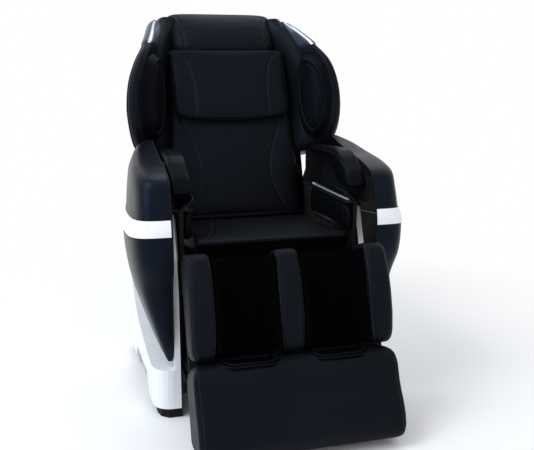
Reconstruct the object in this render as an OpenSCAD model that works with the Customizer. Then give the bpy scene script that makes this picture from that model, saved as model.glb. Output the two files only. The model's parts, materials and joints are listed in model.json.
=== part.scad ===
// Full-body massage chair: reclining back with a travelling roller carriage,
// swing-up leg rest with a sliding foot section, and leaf-shaped side shells.
// +Z is up, the chair faces -Y, and the origin is on the floor below its middle.

/* [Seat] */
// Width of the seat cushion
seat_w = 468; // [440:1:500]
// Depth of the seat cushion, front to back
seat_depth = 448; // [430:1:470]
// Height of the top of the seat's front edge above the floor
seat_h = 568; // [560:1:580]
// Thickness of the seat cushion at its edges
seat_t = 76; // [60:1:80]
// Height of the crown on cushions
crown = 12; // [4:1:16]
// Thickness of the board under the seat cushion
board_t = 12; // [8:1:16]

/* [Back] */
// Height of the back from the hip pivot to its top
back_len = 820; // [790:1:860]
// Lean of the back when it is upright, in degrees
back_tilt = 19.5; // [17:0.5:21]
// Thickness of the back pad
back_pad_t = 52; // [40:1:60]
// Depth of the rear cover behind the pad
cover_depth = 215; // [190:1:225]
// Thickness of the head pillow
pillow_t = 38; // [26:1:44]
// Wall of the moulded covers
wall = 4; // [3:0.5:5]

/* [Arms and shells] */
// Thickness of the padded bolster beside the seat
bolster_w = 33; // [28:1:45]
// How far a side shell bulges out from its inner plane
shell_bulge = 115; // [90:1:125]
// Thickness of the upper arm pad over the hand slot
arm_roof_t = 30; // [22:1:36]

/* [Legs] */
// Length of the calf section below the knee
calf_len = 282; // [270:1:290]
// Half width of the leg rest
leg_half = 301; // [290:1:303]
// Width of one calf channel
channel_w = 176; // [160:1:182]
// Lean of the leg rest when it is down, in degrees
leg_tilt = 19; // [17:0.5:20]

/* [Base] */
// Height of the black plinths on the floor
plinth_h = 34; // [26:1:44]
// Height of the steel base frame's underside above the floor
frame_z = 60; // [50:1:80]
// Size of the square base tube
tube = 30; // [25:1:34]
// Radius of a transport wheel
wheel_r = 30; // [26:0.5:31]
// Radius of the transport wheels' axle
axle_r = 6; // [5:0.5:8]

/* [Mechanism] */
// Radius of the hip and knee pins
pin_r = 8; // [6:0.5:9]
// Radius of a massage roller
roller_r = 34; // [28:0.5:38]
// Width of a massage roller
roller_w = 22; // [16:0.5:26]
// Radius of the roller track tubes
track_r = 9; // [7:0.5:11]
// Radius of an actuator barrel
barrel_r = 18; // [16:0.5:19]

/* [Clearances] */
// Radial clearance of a turning pin
run_fit = 0.05; // [0.02:0.01:0.1]
// Clearance of a sliding piece
slide_fit = 0.5; // [0.3:0.1:0.8]
// Clearance between a soft piece and its neighbour
soft_gap = 3; // [2:0.5:4]
// Clearance between a soft piece and what it rests on
rest_gap = 0.3; // [0.2:0.1:0.5]
// Clearance beside a moving body
move_gap = 6; // [5:0.5:7]

/* [Hidden] */

// ---------- colours ----------
leather_c = [0.13, 0.13, 0.15];
shell_c = [0.05, 0.05, 0.07];
white_c = [0.93, 0.93, 0.94];
steel_c = [0.45, 0.46, 0.48];
dark_c = [0.16, 0.16, 0.17];
silver_c = [0.75, 0.77, 0.8];

// ---------- layers across the chair, as distances from the middle ----------
plate_t = 12;
x_bolster = seat_w / 2 + soft_gap;
x_arm = x_bolster + bolster_w;
x_arm_out = x_arm + plate_t;
x_skirt = x_arm_out + move_gap;
skirt_t = 22;
x_skirt_out = x_skirt + skirt_t;
x_shell = x_skirt_out + 5;
// The back is drawn for arms that stand this far out, and spreads with them
drawn_arm = 270;
spread = x_arm - drawn_arm;

// ---------- datums along the chair ----------
seat_front = -298;
seat_rear = seat_front + seat_depth;
hip = [seat_rear + 42, seat_h - 63];
knee = [seat_front - 22, seat_h - 56];
seat_slope = 3.5;
jaw_z = seat_h + 88;
slot_top = jaw_z + 119;
rail_z = seat_h - 250;
rail_w = 20;
frame_top = seat_h - 128;
block_top = rail_z + rail_w + 34;

// Left-hand pieces are the right-hand ones mirrored
module side(s) {
    if (s < 0) mirror([1, 0, 0]) children();
    else children();
}
// Frame of the back: origin on the hip axis, z up the back, y towards the rear
module at_back() translate([0, hip[0], hip[1]]) rotate([-back_tilt, 0, 0]) children();
// Frame of the leg rest: origin on the knee axis, -z down the leg, -y forwards
module at_leg() translate([0, knee[0], knee[1]]) rotate([-leg_tilt, 0, 0]) children();
// A box given by its lowest and highest corners
module box(a, b) translate(a) cube([b[0] - a[0], b[1] - a[1], b[2] - a[2]]);
// A (y, z) outline extruded across x from x0 to x1
module across(x0, x1, outline) translate([x0, 0, 0])
    rotate([90, 0, 90]) linear_extrude(x1 - x0) polygon(outline);
// A rod along x
module xrod(x0, x1, r) translate([x0, 0, 0]) rotate([0, 90, 0])
    cylinder(h = x1 - x0, r = r, $fn = 48);

// ---------- smooth curves and lofted forms ----------
function spline(a, b, c, d, t) = 0.5 * (2 * b + (c - a) * t
    + (2 * a - 5 * b + 4 * c - d) * t * t + (3 * b - a - 3 * c + d) * t * t * t);
// Point at u (0 to 1) on the smooth curve through pts
function on_curve(pts, u) = let (n = len(pts) - 1, s = u * n, i = min(floor(s), n - 1))
    spline(pts[max(i - 1, 0)], pts[i], pts[i + 1], pts[min(i + 2, n)], s - i);
function power(c, p) = sign(c) * pow(abs(c), 2 / p);
// Closed rounded-rectangle ring of n points about c, in the xy plane at height c[2]
function ring(c, hx, hy, p = 5, n = 32) = [for (i = [0:n - 1]) let (a = 360 * (i + 0.5) / n)
    [c[0] + hx * power(cos(a), p), c[1] + hy * power(sin(a), p), c[2]]];
// Solid through a stack of rings, lowest first, closed at both ends; band says that a ring is a thin strip,
// there along one face and back along the other, so its ends are closed in quads across it
module loft(rings, band = false) {
    n = len(rings[0]);
    m = len(rings);
    cap = band ? [for (i = [0:n / 2 - 2]) [i, i + 1, n - 2 - i, n - 1 - i]] : [[for (i = [0:n - 1]) i]];
    polyhedron(points = [for (r = rings) each r],
        faces = concat(cap, [for (f = cap) [for (i = [len(f) - 1:-1:0]) (m - 1) * n + f[i]]],
            [for (k = [0:m - 2], i = [0:n - 1]) let (j = (i + 1) % n)
                each [[k * n + i, (k + 1) * n + i, (k + 1) * n + j],
                    [k * n + i, (k + 1) * n + j, k * n + j]]]));
}
// Crowned cushion on a w by d base: flat below, sides drawn in at the welts, domed above
module cushion(w, d, t, rise, p = 8, n = 48) {
    side_rings = [[0, 0.965], [0.12, 0.99], [0.5, 1], [0.85, 0.985], [1, 0.955]];
    top_rings = [0.9, 0.78, 0.6, 0.38, 0.14];
    loft(concat([for (s = side_rings) ring([0, 0, s[0] * t], s[1] * w / 2, s[1] * d / 2, p, n)],
        [for (s = top_rings) ring([0, 0, t + rise * (1 - s * s)], s * w / 2, s * d / 2, p, n)]));
}

// ---------- base ----------
base_front = -262;
base_rear = 390;
frame_half = x_arm - 34;
module base_frame() color(steel_c) {
    for (s = [-1, 1]) side(s) {
        box([frame_half - tube / 2, base_front + 20, frame_z],
            [frame_half + tube / 2, base_rear - 30, frame_z + tube]);
        for (y = [base_front + 60, 40, base_rear - 60])
            box([frame_half - tube / 2, y - tube / 2, frame_z + tube],
                [frame_half + tube / 2, y + tube / 2, rail_z]);
        for (y = [base_front + 60, base_rear - 120])
            box([frame_half + tube / 2, y - tube / 2, frame_z],
                [x_skirt, y + tube / 2, frame_z + tube]);
        box([frame_half + tube / 2, wheel_y - 14, wheel_z - 12],
            [x_skirt - wheel_w - 6, wheel_y + 14, frame_z + tube]);
        translate([0, wheel_y, wheel_z]) xrod(frame_half + tube / 2, x_skirt - 2, axle_r);
    }
    for (y = [base_front + 60, 40, base_rear - 60])
        box([-frame_half, y - tube / 2, frame_z], [frame_half, y + tube / 2, frame_z + tube]);
    box([-frame_half, 120, frame_z + tube - 4], [frame_half, base_rear - 60, frame_z + tube]);
}
wheel_w = 21;
wheel_y = base_rear - 44;
wheel_z = wheel_r + 6;

module slide_rails() color(silver_c) for (s = [-1, 1])
    box([s * frame_half - rail_w / 2, base_front + 12, rail_z],
        [s * frame_half + rail_w / 2, base_rear - 50, rail_z + rail_w]);

// Plan of the flared foot: straight side, round nose at the front
foot_out = 66;
nose = 58;
function foot_plan(grow = 0) = concat(
    [[x_skirt + wall, base_rear + grow], [x_skirt + wall, base_front - 4 - grow]],
    [for (a = [0:15:90]) [x_skirt_out + foot_out - nose + grow + nose * sin(a),
        base_front - 4 - grow + nose - nose * cos(a)]],
    [[x_skirt_out + foot_out + grow + 8, 120], [x_skirt_out + foot_out + grow + 6, base_rear + grow]]);
// Side outline of the skirt above the plinth: tall at the front, falling to the rear
function skirt_side(top) = [[base_front - 4, plinth_h], [base_front - 4, seat_h - 168],
    [base_front + 16, seat_h - 68], [base_front + 66, top], [base_front + 116, top - 6],
    [60, seat_h - 70], [220, seat_h - 150], [base_rear - 10, rail_z - 20],
    [base_rear, plinth_h]];
// The flare's top follows the lower edge of the shell, just below it
flare_top = [[base_front - 10, 160], [-180, 166], [-60, 180], [60, 206], [180, 248],
    [300, 318], [base_rear + 4, 350]];
module skirt() color(white_c) difference() {
    union() {
        across(x_skirt, x_skirt_out, skirt_side(jaw_z - 16));
        intersection() {
            translate([0, 0, plinth_h]) linear_extrude(400) polygon(foot_plan());
            across(x_skirt, x_shell + 120, concat([for (p = flare_top) p],
                [[base_rear + 4, plinth_h], [200, plinth_h], [150, 92], [-90, 92],
                    [-140, plinth_h], [base_front - 10, plinth_h]]));
        }
    }
    intersection() {
        translate([0, 0, plinth_h - 1]) linear_extrude(400) polygon([
            [x_skirt_out, base_rear - wall], [x_skirt_out, base_front + 26],
            [x_skirt_out + foot_out - wall - 22, base_front + 26],
            [x_skirt_out + foot_out - wall, base_front + nose],
            [x_skirt_out + foot_out - wall, base_rear - wall]]);
        across(x_skirt, x_shell + 120, concat([for (p = flare_top) [p[0], p[1] - wall]],
            [[base_rear + 4, plinth_h - 2], [base_front - 10, plinth_h - 2]]));
    }
}
module left_skirt() side(-1) skirt();
module right_skirt() side(1) skirt();

module plinth() color(dark_c) linear_extrude(plinth_h) polygon([
    [x_skirt, base_rear - 12], [x_skirt, base_front + 8],
    [x_skirt_out + 20, base_front + 8], [x_skirt_out + 42, base_front + 26],
    [x_skirt_out + 50, base_front + 56], [x_skirt_out + 50, base_rear - 12]]);
module left_plinth() side(-1) plinth();
module right_plinth() side(1) plinth();

apron_y = base_rear - 12;
switch_x = frame_half - 86;
socket_x = frame_half - 26;
port_z = 150;
module rear_apron() color(dark_c) difference() {
    box([-x_skirt, apron_y, frame_z - 20], [x_skirt, apron_y + wall, rail_z - 40]);
    translate([socket_x, apron_y - 1, port_z]) box([-24, 0, -14], [24, wall + 2, 14]);
    translate([switch_x, apron_y - 1, port_z]) box([-15.5, 0, -11.6], [15.5, wall + 2, 11.6]);
}
module mains_inlet() color(dark_c) translate([socket_x, apron_y, port_z]) difference() {
    union() {
        box([-30, wall, -20], [30, wall + 3, 20]);
        box([-23.5, -24, -13.5], [23.5, wall, 13.5]);
    }
    box([-20, -18, -10], [20, wall + 4, 10]);
}
module power_rocker() color(dark_c) translate([switch_x, apron_y + wall / 2, port_z])
    difference() {
        intersection() {
            xrod(-15, 15, 11);
            box([-15, -6, -11], [15, 11, 11]);
        }
        translate([0, 24, 0]) xrod(-16, 16, 16);
    }
module control_box() color(dark_c) {
    box([frame_half - 176, 150, frame_z + tube], [frame_half - 16, apron_y - 26, frame_z + tube + 110]);
    for (z = [frame_z + 50 : 14 : frame_z + 120])
        box([frame_half - 180, 180, z], [frame_half - 176, 320, z + 6]);
}
module air_pump() color(silver_c) {
    box([36 - frame_half, 150, frame_z + tube], [-30, 300, frame_z + tube + 84]);
    for (y = [190, 260]) translate([-115, y, frame_z + tube + 84])
        cylinder(h = 26, r = 24, $fn = 48);
}
module wheel() color(dark_c) translate([0, wheel_y, wheel_z]) difference() {
    xrod(x_skirt - wheel_w - 5.5, x_skirt - 5, wheel_r);
    xrod(x_skirt - wheel_w - 10, x_skirt, axle_r + run_fit);
}
module left_wheel() side(-1) wheel();
module right_wheel() side(1) wheel();
module base_bolts() color(silver_c) for (s = [-1, 1]) side(s)
    for (y = [base_front + 60, base_rear - 60]) translate([frame_half, y, frame_z])
        rotate([180, 0, 0]) cylinder(h = 8, r = 9, $fn = 6);

// ---------- seat carriage ----------
side_tube = [frame_half, frame_half + tube];
lug_x = frame_half + 20;
ear_x = frame_half + 8;
low_bar_z = rail_z + rail_w + 9;
front_bar_y = seat_front + 24;
back_anchor = [seat_front + 186, low_bar_z + 40];
leg_anchor = [seat_rear - 78, low_bar_z + 40];
block_y = [seat_front + 128, seat_rear - 20];
// A plate from the two points of its foot to a round end at a pin; turn points the end
module lug(x0, x1, at, r, foot, turn = 0) across(x0, x1, concat(foot,
    [for (a = [-20:20:200]) [at[0] + r * cos(a + turn), at[1] + r * sin(a + turn)]]));
module seat_frame() color(steel_c) {
    anchor_pins();
    frame_body();
}
module frame_body() difference() {
    union() {
        for (s = [-1, 1]) side(s) {
            box([side_tube[0], seat_front + 12, frame_top - 25],
                [side_tube[1], seat_rear + 55, frame_top]);
            box([side_tube[1], seat_front + 58, frame_top - 20],
                [x_arm_out, seat_front + 408, frame_top]);
            for (y = block_y) box([frame_half - 10, y - 12, block_top],
                [frame_half + 10, y + 12, frame_top - 25]);
            for (y = [front_bar_y, back_anchor[0], leg_anchor[0], hip[0]])
                box([frame_half - 10, y - 12, low_bar_z], [frame_half + 10, y + 12, frame_top - 20]);
            lug(lug_x, lug_x + 8, hip, 17, [[hip[0] - 22, frame_top - 5], [hip[0] + 13, frame_top - 5]]);
            lug(lug_x, lug_x + 8, knee, 14, [[seat_front + 12, frame_top - 5],
                [seat_front + 50, frame_top - 5], [seat_front + 50, frame_top + 16]]);
        }
        for (y = [front_bar_y, back_anchor[0], leg_anchor[0], hip[0]])
            box([-frame_half, y - 12, low_bar_z], [frame_half, y + 12, low_bar_z + 24]);
        for (x = [actuator_x[0], actuator_x[1]], s = [-1, 1]) let (p = x > 0 ? back_anchor : leg_anchor)
            lug(x + (s > 0 ? ear_in : -ear_in - 6), x + (s > 0 ? ear_in + 6 : -ear_in), p, 11,
                [[p[0] - 11, low_bar_z + 20], [p[0] + 11, low_bar_z + 20]]);
    }
    for (s = [-1, 1], p = [hip, knee]) side(s) translate([0, p[0], p[1]]) xrod(lug_x - 6, lug_x + 14, pin_r);
}
// Fixed cross pins that carry the two actuator barrels
module anchor_pins() for (x = actuator_x) let (p = x > 0 ? back_anchor : leg_anchor)
    translate([0, p[0], p[1]]) xrod(x - ear_in - 3, x + ear_in + 3, shaft_r);
actuator_x = [-60, 60];
ear_in = 14;
module slide_blocks() color(dark_c) for (s = [-1, 1], y = block_y) side(s) difference() {
    box([frame_half - 20, y - 30, rail_z + 6], [frame_half + 20, y + 30, block_top]);
    box([frame_half - rail_w / 2 - slide_fit, y - 31, rail_z],
        [frame_half + rail_w / 2 + slide_fit, y + 31, rail_z + rail_w + slide_fit]);
}
seat_mid = (seat_front + seat_rear) / 2;
module at_seat() translate([0, seat_mid,
    seat_h - seat_t - seat_depth / 2 * sin(seat_slope)]) rotate([-seat_slope, 0, 0]) children();
module seat_board() color(dark_c) {
    at_seat() box([-seat_w / 2 + 6, -seat_depth / 2 + 8, -board_t],
        [seat_w / 2 - 6, seat_depth / 2 - 4, 0]);
    for (s = [-1, 1]) side(s) difference() {
        box([seat_w / 2 - 40, seat_front + 20, frame_top], [seat_w / 2 - 8, seat_rear - 10, seat_h]);
        at_seat() box([0, -seat_depth, -board_t / 2], [seat_w, seat_depth, seat_h]);
    }
    for (s = [-1, 1], y = [seat_front + 70, seat_rear - 60]) side(s)
        box([seat_w / 2 - 40, y - 12, frame_top], [side_tube[0] + 20, y + 12, frame_top + 8]);
}
module seat_cushion() color(leather_c) at_seat() cushion(seat_w, seat_depth, seat_t, crown, 14);
module bolster() color(leather_c) {
    len = seat_depth * 0.8;
    translate([x_arm - rest_gap, seat_front + 50 + len / 2, (seat_h - 12 + jaw_z) / 2 - 4])
        rotate([90, 0, -90]) cushion(len, jaw_z - seat_h + 4, bolster_w - 9, 6, 6, 32);
}
module left_bolster() side(-1) bolster();
module right_bolster() side(1) bolster();

arm_front = seat_front + 38;
arm_rear = seat_rear + 18;
// The arm's carrier: a wall beside the bolster, a shelf over the skirt and a wall behind the pad
module arm_frame() color(dark_c) {
    across(x_arm, x_arm_out, [[arm_front + 22, frame_top], [arm_rear - 55, frame_top],
        [arm_rear - 20, jaw_z - 6], [arm_front + 12, jaw_z - 6]]);
    across(x_arm - 29, x_shell, [[arm_front + 12, jaw_z - 6], [arm_rear, jaw_z - 6],
        [arm_rear, jaw_z], [arm_front + 12, jaw_z]]);
    across(x_shell - 8, x_shell, [[arm_front, jaw_z], [arm_rear, jaw_z], [arm_rear, slot_top],
        [arm_front + 120, slot_top + 8], [arm_front, jaw_z + 60]]);
    across(x_arm - 23, x_shell - 8, [[arm_rear - 20, jaw_z], [arm_rear, jaw_z],
        [arm_rear, slot_top], [arm_rear - 20, slot_top]]);
}
module left_arm_frame() side(-1) arm_frame();
module right_arm_frame() side(1) arm_frame();
// Side outline of the upper pad: a front block, then a thin roof over the hand slot
arm_outline = [[arm_front - 6, jaw_z + 46], [arm_front + 20, jaw_z + 92],
    [arm_front + 78, jaw_z + 134], [arm_front + 118, jaw_z + 150],
    [arm_front + 200, slot_top + arm_roof_t], [arm_rear - 60, slot_top + arm_roof_t - 8],
    [arm_rear - 2, slot_top + 12], [arm_rear - 2, slot_top + rest_gap],
    [arm_front + 178, slot_top + rest_gap], [arm_front + 150, jaw_z + 96],
    [arm_front + 112, jaw_z + 48], [arm_front + 40, jaw_z + 40]];
module arm_pad() color(leather_c)
    across(x_arm - 27, x_shell - 8 - rest_gap, arm_outline);
module left_arm_pad() side(-1) arm_pad();
module right_arm_pad() side(1) arm_pad();
module arm_trims() color(silver_c) for (s = [-1, 1]) side(s)
    box([x_arm - 15, arm_front + 30, jaw_z], [x_arm - 7, arm_rear - 60, jaw_z + 5]);
module hip_pins() color(silver_c) for (s = [-1, 1]) side(s)
    translate([0, hip[0], hip[1]]) xrod(ear_x - 1, lug_x + 10, pin_r);
module knee_pins() color(silver_c) for (s = [-1, 1]) side(s)
    translate([0, knee[0], knee[1]]) xrod(ear_x - 1, lug_x + 10, pin_r);

// ---------- side shells ----------
// Closed sheet between two point grids of the same size
module sheet(outer, inner) {
    m = len(outer);
    n = len(outer[0]);
    k = m * n;
    function quad(a, b, c, d) = [[a, b, c], [a, c, d]];
    polyhedron(points = concat([for (r = outer) each r], [for (r = inner) each r]),
        faces = concat(
            [for (i = [0:m - 2], j = [0:n - 2]) let (a = i * n + j)
                each quad(a, a + 1, a + n + 1, a + n)],
            [for (i = [0:m - 2], j = [0:n - 2]) let (a = k + i * n + j)
                each quad(a, a + n, a + n + 1, a + 1)],
            [for (j = [0:n - 2]) each quad(j + 1, j, k + j, k + j + 1)],
            [for (j = [0:n - 2]) let (a = (m - 1) * n + j) each quad(a, a + 1, k + a + 1, k + a)],
            [for (i = [0:m - 2]) let (a = i * n) each quad(a, a + n, k + a + n, k + a)],
            [for (i = [0:m - 2]) let (a = i * n + n - 1) each quad(a + n, a, k + a, k + a + n)]));
}
// Front and rear edges of the leaf (y, z), from its low tip to its apex
leaf_front = [[seat_front + 59, 181], [seat_front + 27, 246], [seat_front + 11, 331],
    [seat_front + 8, 423], [seat_front - 24, seat_h - 63], [seat_front - 28, seat_h + 24],
    [seat_front - 20, seat_h + 72], [seat_front - 2, seat_h + 132], [seat_front + 26, seat_h + 180],
    [seat_front + 108, seat_h + 205], [seat_front + 218, seat_h + 223],
    [seat_front + 318, seat_h + 244], [seat_front + 382, seat_h + 261]];
leaf_rear = [[seat_front + 78, 176], [-60, 212], [130, 268], [300, 350], [405, 440],
    [442, seat_h - 38], [434, seat_h + 17], [402, seat_h + 72], [342, seat_h + 128],
    [264, seat_h + 168], [190, seat_h + 194], [148, seat_h + 234], [seat_front + 416, seat_h + 261]];
// Bulge at the same stations, as a share of the full bulge
leaf_bulge = [0.1, 0.33, 0.58, 0.82, 0.96, 1, 0.9, 0.86, 0.83, 0.78, 0.68, 0.5, 0.2];
stripe = [5 / 12, 6 / 12];
function bulge_shape(t) = pow(max(1 - pow(abs(2 * t - 1), 2.6), 0), 0.55);
function leaf_point(v, t, out, inset) = let (f = on_curve(leaf_front, v), r = on_curve(leaf_rear, v),
    q = t * t, e = inset / max(norm(r - f), 4 * inset), u = e + (1 - 2 * e) * q,
    h = (shell_bulge * on_curve(leaf_bulge, v) + out) * bulge_shape(t))
    [x_shell + max(h - inset, 0), f[0] + (r[0] - f[0]) * u, f[1] + (r[1] - f[1]) * u];
module shell_part(v0, v1, rows, out) let (cols = 14)
    sheet([for (i = [0:rows]) [for (j = [cols:-1:0])
            leaf_point(v0 + (v1 - v0) * i / rows, j / cols, out, 0)]],
        [for (i = [0:rows]) [for (j = [cols:-1:0])
            leaf_point(v0 + (v1 - v0) * i / rows, j / cols, out, wall)]]);
module left_shell_upper() side(-1) color(shell_c) shell_part(stripe[1], 1, 12, 0);
module right_shell_upper() side(1) color(shell_c) shell_part(stripe[1], 1, 12, 0);
module left_shell_stripe() side(-1) color(white_c) shell_part(stripe[0], stripe[1], 3, 5);
module right_shell_stripe() side(1) color(white_c) shell_part(stripe[0], stripe[1], 3, 5);
module left_shell_lower() side(-1) color(shell_c) shell_part(0, stripe[0], 11, 0);
module right_shell_lower() side(1) color(shell_c) shell_part(0, stripe[0], 11, 0);

// ---------- backrest (in the frame of the back) ----------
pad_front = -44;
pad_rear = pad_front + back_pad_t - 2;
pad_top = back_len - 178;
bar_t = 24;
bar_x = 190;
track_x = 110;
track_y = 100;
frame_low = 30;
frame_high = pad_top - 12;
lever = 92;
back_lever = [lever * sin(20), -lever * cos(20)];
module back_frame() color(steel_c) at_back() difference() {
    union() {
        xrod(-ear_x - 10, ear_x + 10, 16);
        for (s = [-1, 1]) side(s) {
            xrod(ear_x, ear_x + 10, 20);
            box([bar_x - 10, pad_rear, 0], [bar_x + 10, pad_rear + bar_t, frame_high]);
            translate([track_x, track_y, frame_low])
                cylinder(h = frame_high - frame_low, r = track_r, $fn = 48);
        }
        for (z = [frame_low, frame_high - 16]) {
            box([-bar_x, pad_rear, z], [bar_x, pad_rear + 10, z + 16]);
            for (s = [-1, 1]) side(s) box([track_x - 12, pad_rear, z], [track_x + 12, track_y + 12, z + 16]);
        }
        for (s = [-1, 1]) side(s) box([bar_x, cover_stations[2][2] + 2, cover_stations[2][0] + 30],
            [cover_stations[2][1] + spread - wall - slide_fit, cover_stations[2][2] + 14,
                cover_stations[2][0] + 70]);
        for (s = [-1, 1], k = [2, 4]) side(s) box([bar_x, pad_rear, wing_stations[k][0]],
            [wing_stations[k][3] + spread + 20, cover_stations[4][2] - rest_gap, wing_stations[k][0] + 20]);
        for (s = [-1, 1]) rotate([back_tilt, 0, 0])
            lug(actuator_x[1] + (s > 0 ? ear_in : -ear_in - 6),
                actuator_x[1] + (s > 0 ? ear_in + 6 : -ear_in), back_lever, 12,
                [[14, 0], [-12, -4]], 180);
    }
    xrod(-ear_x - 16, ear_x + 16, pin_r + run_fit);
}
// Soft back pad, narrower towards the head
module back_pad() color(leather_c) at_back() {
    stations = [[24, 0.9, 0.7], [34, 0.96, 0.88], [60, 0.99, 0.97], [180, 1, 1], [320, 0.99, 0.96],
        [440, 0.95, 0.97], [540, 0.92, 1], [pad_top - 30, 0.89, 1], [pad_top - 10, 0.88, 0.9],
        [pad_top - 1, 0.86, 0.72]];
    loft([for (s = stations) ring([0, pad_rear - rest_gap - s[2] * (pad_rear - pad_front) / 2, s[0]],
        s[1] * frame_half, s[2] * (pad_rear - pad_front) / 2, 6, 40)]);
}
// Leather-covered top of the back: height, front, rear and half width at each station
head_stations = [[pad_top, -40, 204, 197], [pad_top + 20, -45, 214.4, 204],
    [pad_top + 60, -39, 206.9, 204], [pad_top + 100, -26, 188, 203], [pad_top + 135, -8, 160, 202],
    [pad_top + 160, 14, 132, 200], [pad_top + 172, 34, 110, 189], [back_len + 1, 52, 92, 164]];
module head_section() color(leather_c) at_back()
    loft([for (s = head_stations) ring([0, (s[1] + s[2]) / 2, s[0]], s[3] + spread,
        (s[2] - s[1]) / 2, 5, 40)]);
// Rear cover: half width, front edge and depth at each height
cover_stations = [[14, 262, 30, 0.62], [60, 266, 22, 0.74], [150, 268, 14, 0.88], [280, 268, 10, 0.97],
    [420, 262, 10, 1], [540, 246, 10, 1], [pad_top - 40, 222, 10, 0.97], [pad_top - rest_gap, 208, 10, 0.94]];
module rear_cover() {
    cols = 24;
    function cover(k, t, inset) = let (s = cover_stations[k], a = 180 * t, d = cover_depth * s[3])
        [(s[1] + spread - inset) * power(cos(a), 4), s[2] + (d - s[2] - inset) * power(sin(a), 4), s[0]];
    color(shell_c) at_back() sheet(
        [for (k = [0:len(cover_stations) - 1]) [for (j = [cols:-1:0]) cover(k, j / cols, 0)]],
        [for (k = [0:len(cover_stations) - 1]) [for (j = [cols:-1:0]) cover(k, j / cols, wall)]]);
}
// Wing: height, x and y of its front edge, x of its root, x and y of its rear edge
wing_stations = [[262, 330, -60, 250, 296, 60], [284, 358, -100, 246, 312, 100],
    [330, 374, -140, 245, 322, 128], [400, 381, -168, 245, 324, 140], [480, 372, -190, 244, 316, 142],
    [550, 348, -198, 240, 300, 140], [612, 318, -168, 228, 280, 132], [680, 292, -104, 218, 262, 120],
    [740, 272, -34, 210, 246, 104], [back_len - 38, 254, 20, 206, 232, 84]];
wing_rows = 27;
function wing_at(k) = on_curve(wing_stations, k / wing_rows) + [0, spread, 0, spread, spread, 0];
// Inner face of a wing's section, from its root to its front edge
function wing_face(s) = let (w = s[1] - s[3]) [[s[3] + 0.08 * w, s[2] * 0.3 - 16],
    [s[3] + 0.38 * w, s[2] * 0.52 - 14], [s[1] - 0.47 * w, s[2] * 0.72 - 8],
    [s[1] - 0.27 * w, s[2] + 6]];
function wing_tip(s) = let (w = s[1] - s[3]) [[s[1] - 0.27 * w, s[2] + 6],
    [s[1] - 0.14 * w, s[2] - 2], [s[1] - 0.03 * w, s[2] + 4], [s[1] + 3, s[2] + 24]];
function wing_ring(s) = let (fx = s[1], fy = s[2], ix = s[3], rx = s[4], ry = s[5])
    [for (p = concat([[ix + 4, 2], [ix, -12]], wing_face(s), [for (i = [1:3]) wing_tip(s)[i]],
        [[fx + 2, fy + min(54, 0.35 * (ry - fy))], [(fx * 2 + rx) / 3 + 6, (fy * 2 + ry) / 3 + 24],
        [(fx + rx * 2) / 3 + 8, (fy + ry * 2) / 3 + 10], [rx + 4, ry - 12], [rx - 6, ry],
        [rx - 0.25 * (rx - ix), ry - 2], [rx - 0.36 * (rx - ix), max(ry - 20, 24)],
        [rx - 0.52 * (rx - ix), 8]]))
        [p[0], p[1], s[0]]];
module wing() color(shell_c) at_back() loft([for (k = [0:wing_rows]) wing_ring(wing_at(k))]);
module left_wing() side(-1) wing();
module right_wing() side(1) wing();
// Airbag pad on the inner face: as thick as rise at its middle, thinning to its ends
wing_pad_rows = [4, 17];
wing_pad_rise = 34;
function wing_pad_ring(s, t) = let (f = wing_face(s), n = unit([f[0][1] - f[2][1], f[2][0] - f[0][0]]),
    h = wing_pad_rise * sqrt(max(1 - pow(abs(2 * t - 1), 2.2), 0)) + 3)
    [for (p = concat([f[0] - n * (h * 0.5 + 1), f[1] - n * (h + 1) - (f[1] - f[0]) * 0.35,
        f[1] - n * (h + 2) + (f[2] - f[1]) * 0.4, f[2] - n * (h * 0.85 + 1) + (f[3] - f[2]) * 0.3,
        f[3] - n * (h * 0.3 + 1)], [for (i = [3:-1:0]) f[i] - 1.6 * n])) [p[0], p[1], s[0]]];
function unit(v) = v / norm(v);
module wing_pad() color(leather_c) at_back() let (a = wing_pad_rows[0], b = wing_pad_rows[1])
    loft([for (k = [a:b]) wing_pad_ring(wing_at(k), (k - a) / (b - a))]);
module left_wing_pad() side(-1) wing_pad();
module right_wing_pad() side(1) wing_pad();
speaker_rows = [20, 26];
function speaker_line(s) = let (f = wing_face(s)) concat([(f[1] + f[2]) / 2, f[2]], wing_tip(s));
// The line through points, moved out to its right by h
function moved(line, h) = [for (i = [0:len(line) - 1]) let (a = line[max(i - 1, 0)],
    b = line[min(i + 1, len(line) - 1)]) line[i] + h * unit([b[1] - a[1], a[0] - b[0]])];
speaker_t = 4.3;
speaker_lift = 1.7;
module speakers() color(silver_c) at_back() for (s = [-1, 1]) side(s)
    loft([for (k = [speaker_rows[0]:speaker_rows[1]]) let (w = wing_at(k), line = speaker_line(w),
        low = moved(line, speaker_lift))
        [for (p = concat(moved(line, speaker_lift + speaker_t), [for (i = [len(line) - 1:-1:0]) low[i]]))
            [p[0], p[1], w[0]]]], band = true);
pillow_top = pad_top - 6;
pillow_len = 266;
pillow_y = pad_front - 2 * rest_gap;
// Head pillow hanging from its top edge, thicker towards its lower edge
module head_pillow() color(leather_c) at_back() {
    stations = [[0, 0.46, 0.58], [0.03, 0.7, 0.82], [0.08, 0.86, 0.93], [0.18, 1, 0.99], [0.32, 1.05, 1.01],
        [0.55, 1, 1.01], [0.8, 0.85, 1], [0.94, 0.66, 0.98], [1, 0.36, 0.96]];
    loft([for (s = stations) let (h = pillow_t * s[1])
        ring([0, pillow_y - h / 2, pillow_top - pillow_len * (1 - s[0])],
            s[2] * (212 + spread), h / 2, 5, 36)]);
    translate([0, -60, pillow_top]) xrod(-198 - spread, 198 + spread, 4);
}

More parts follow.
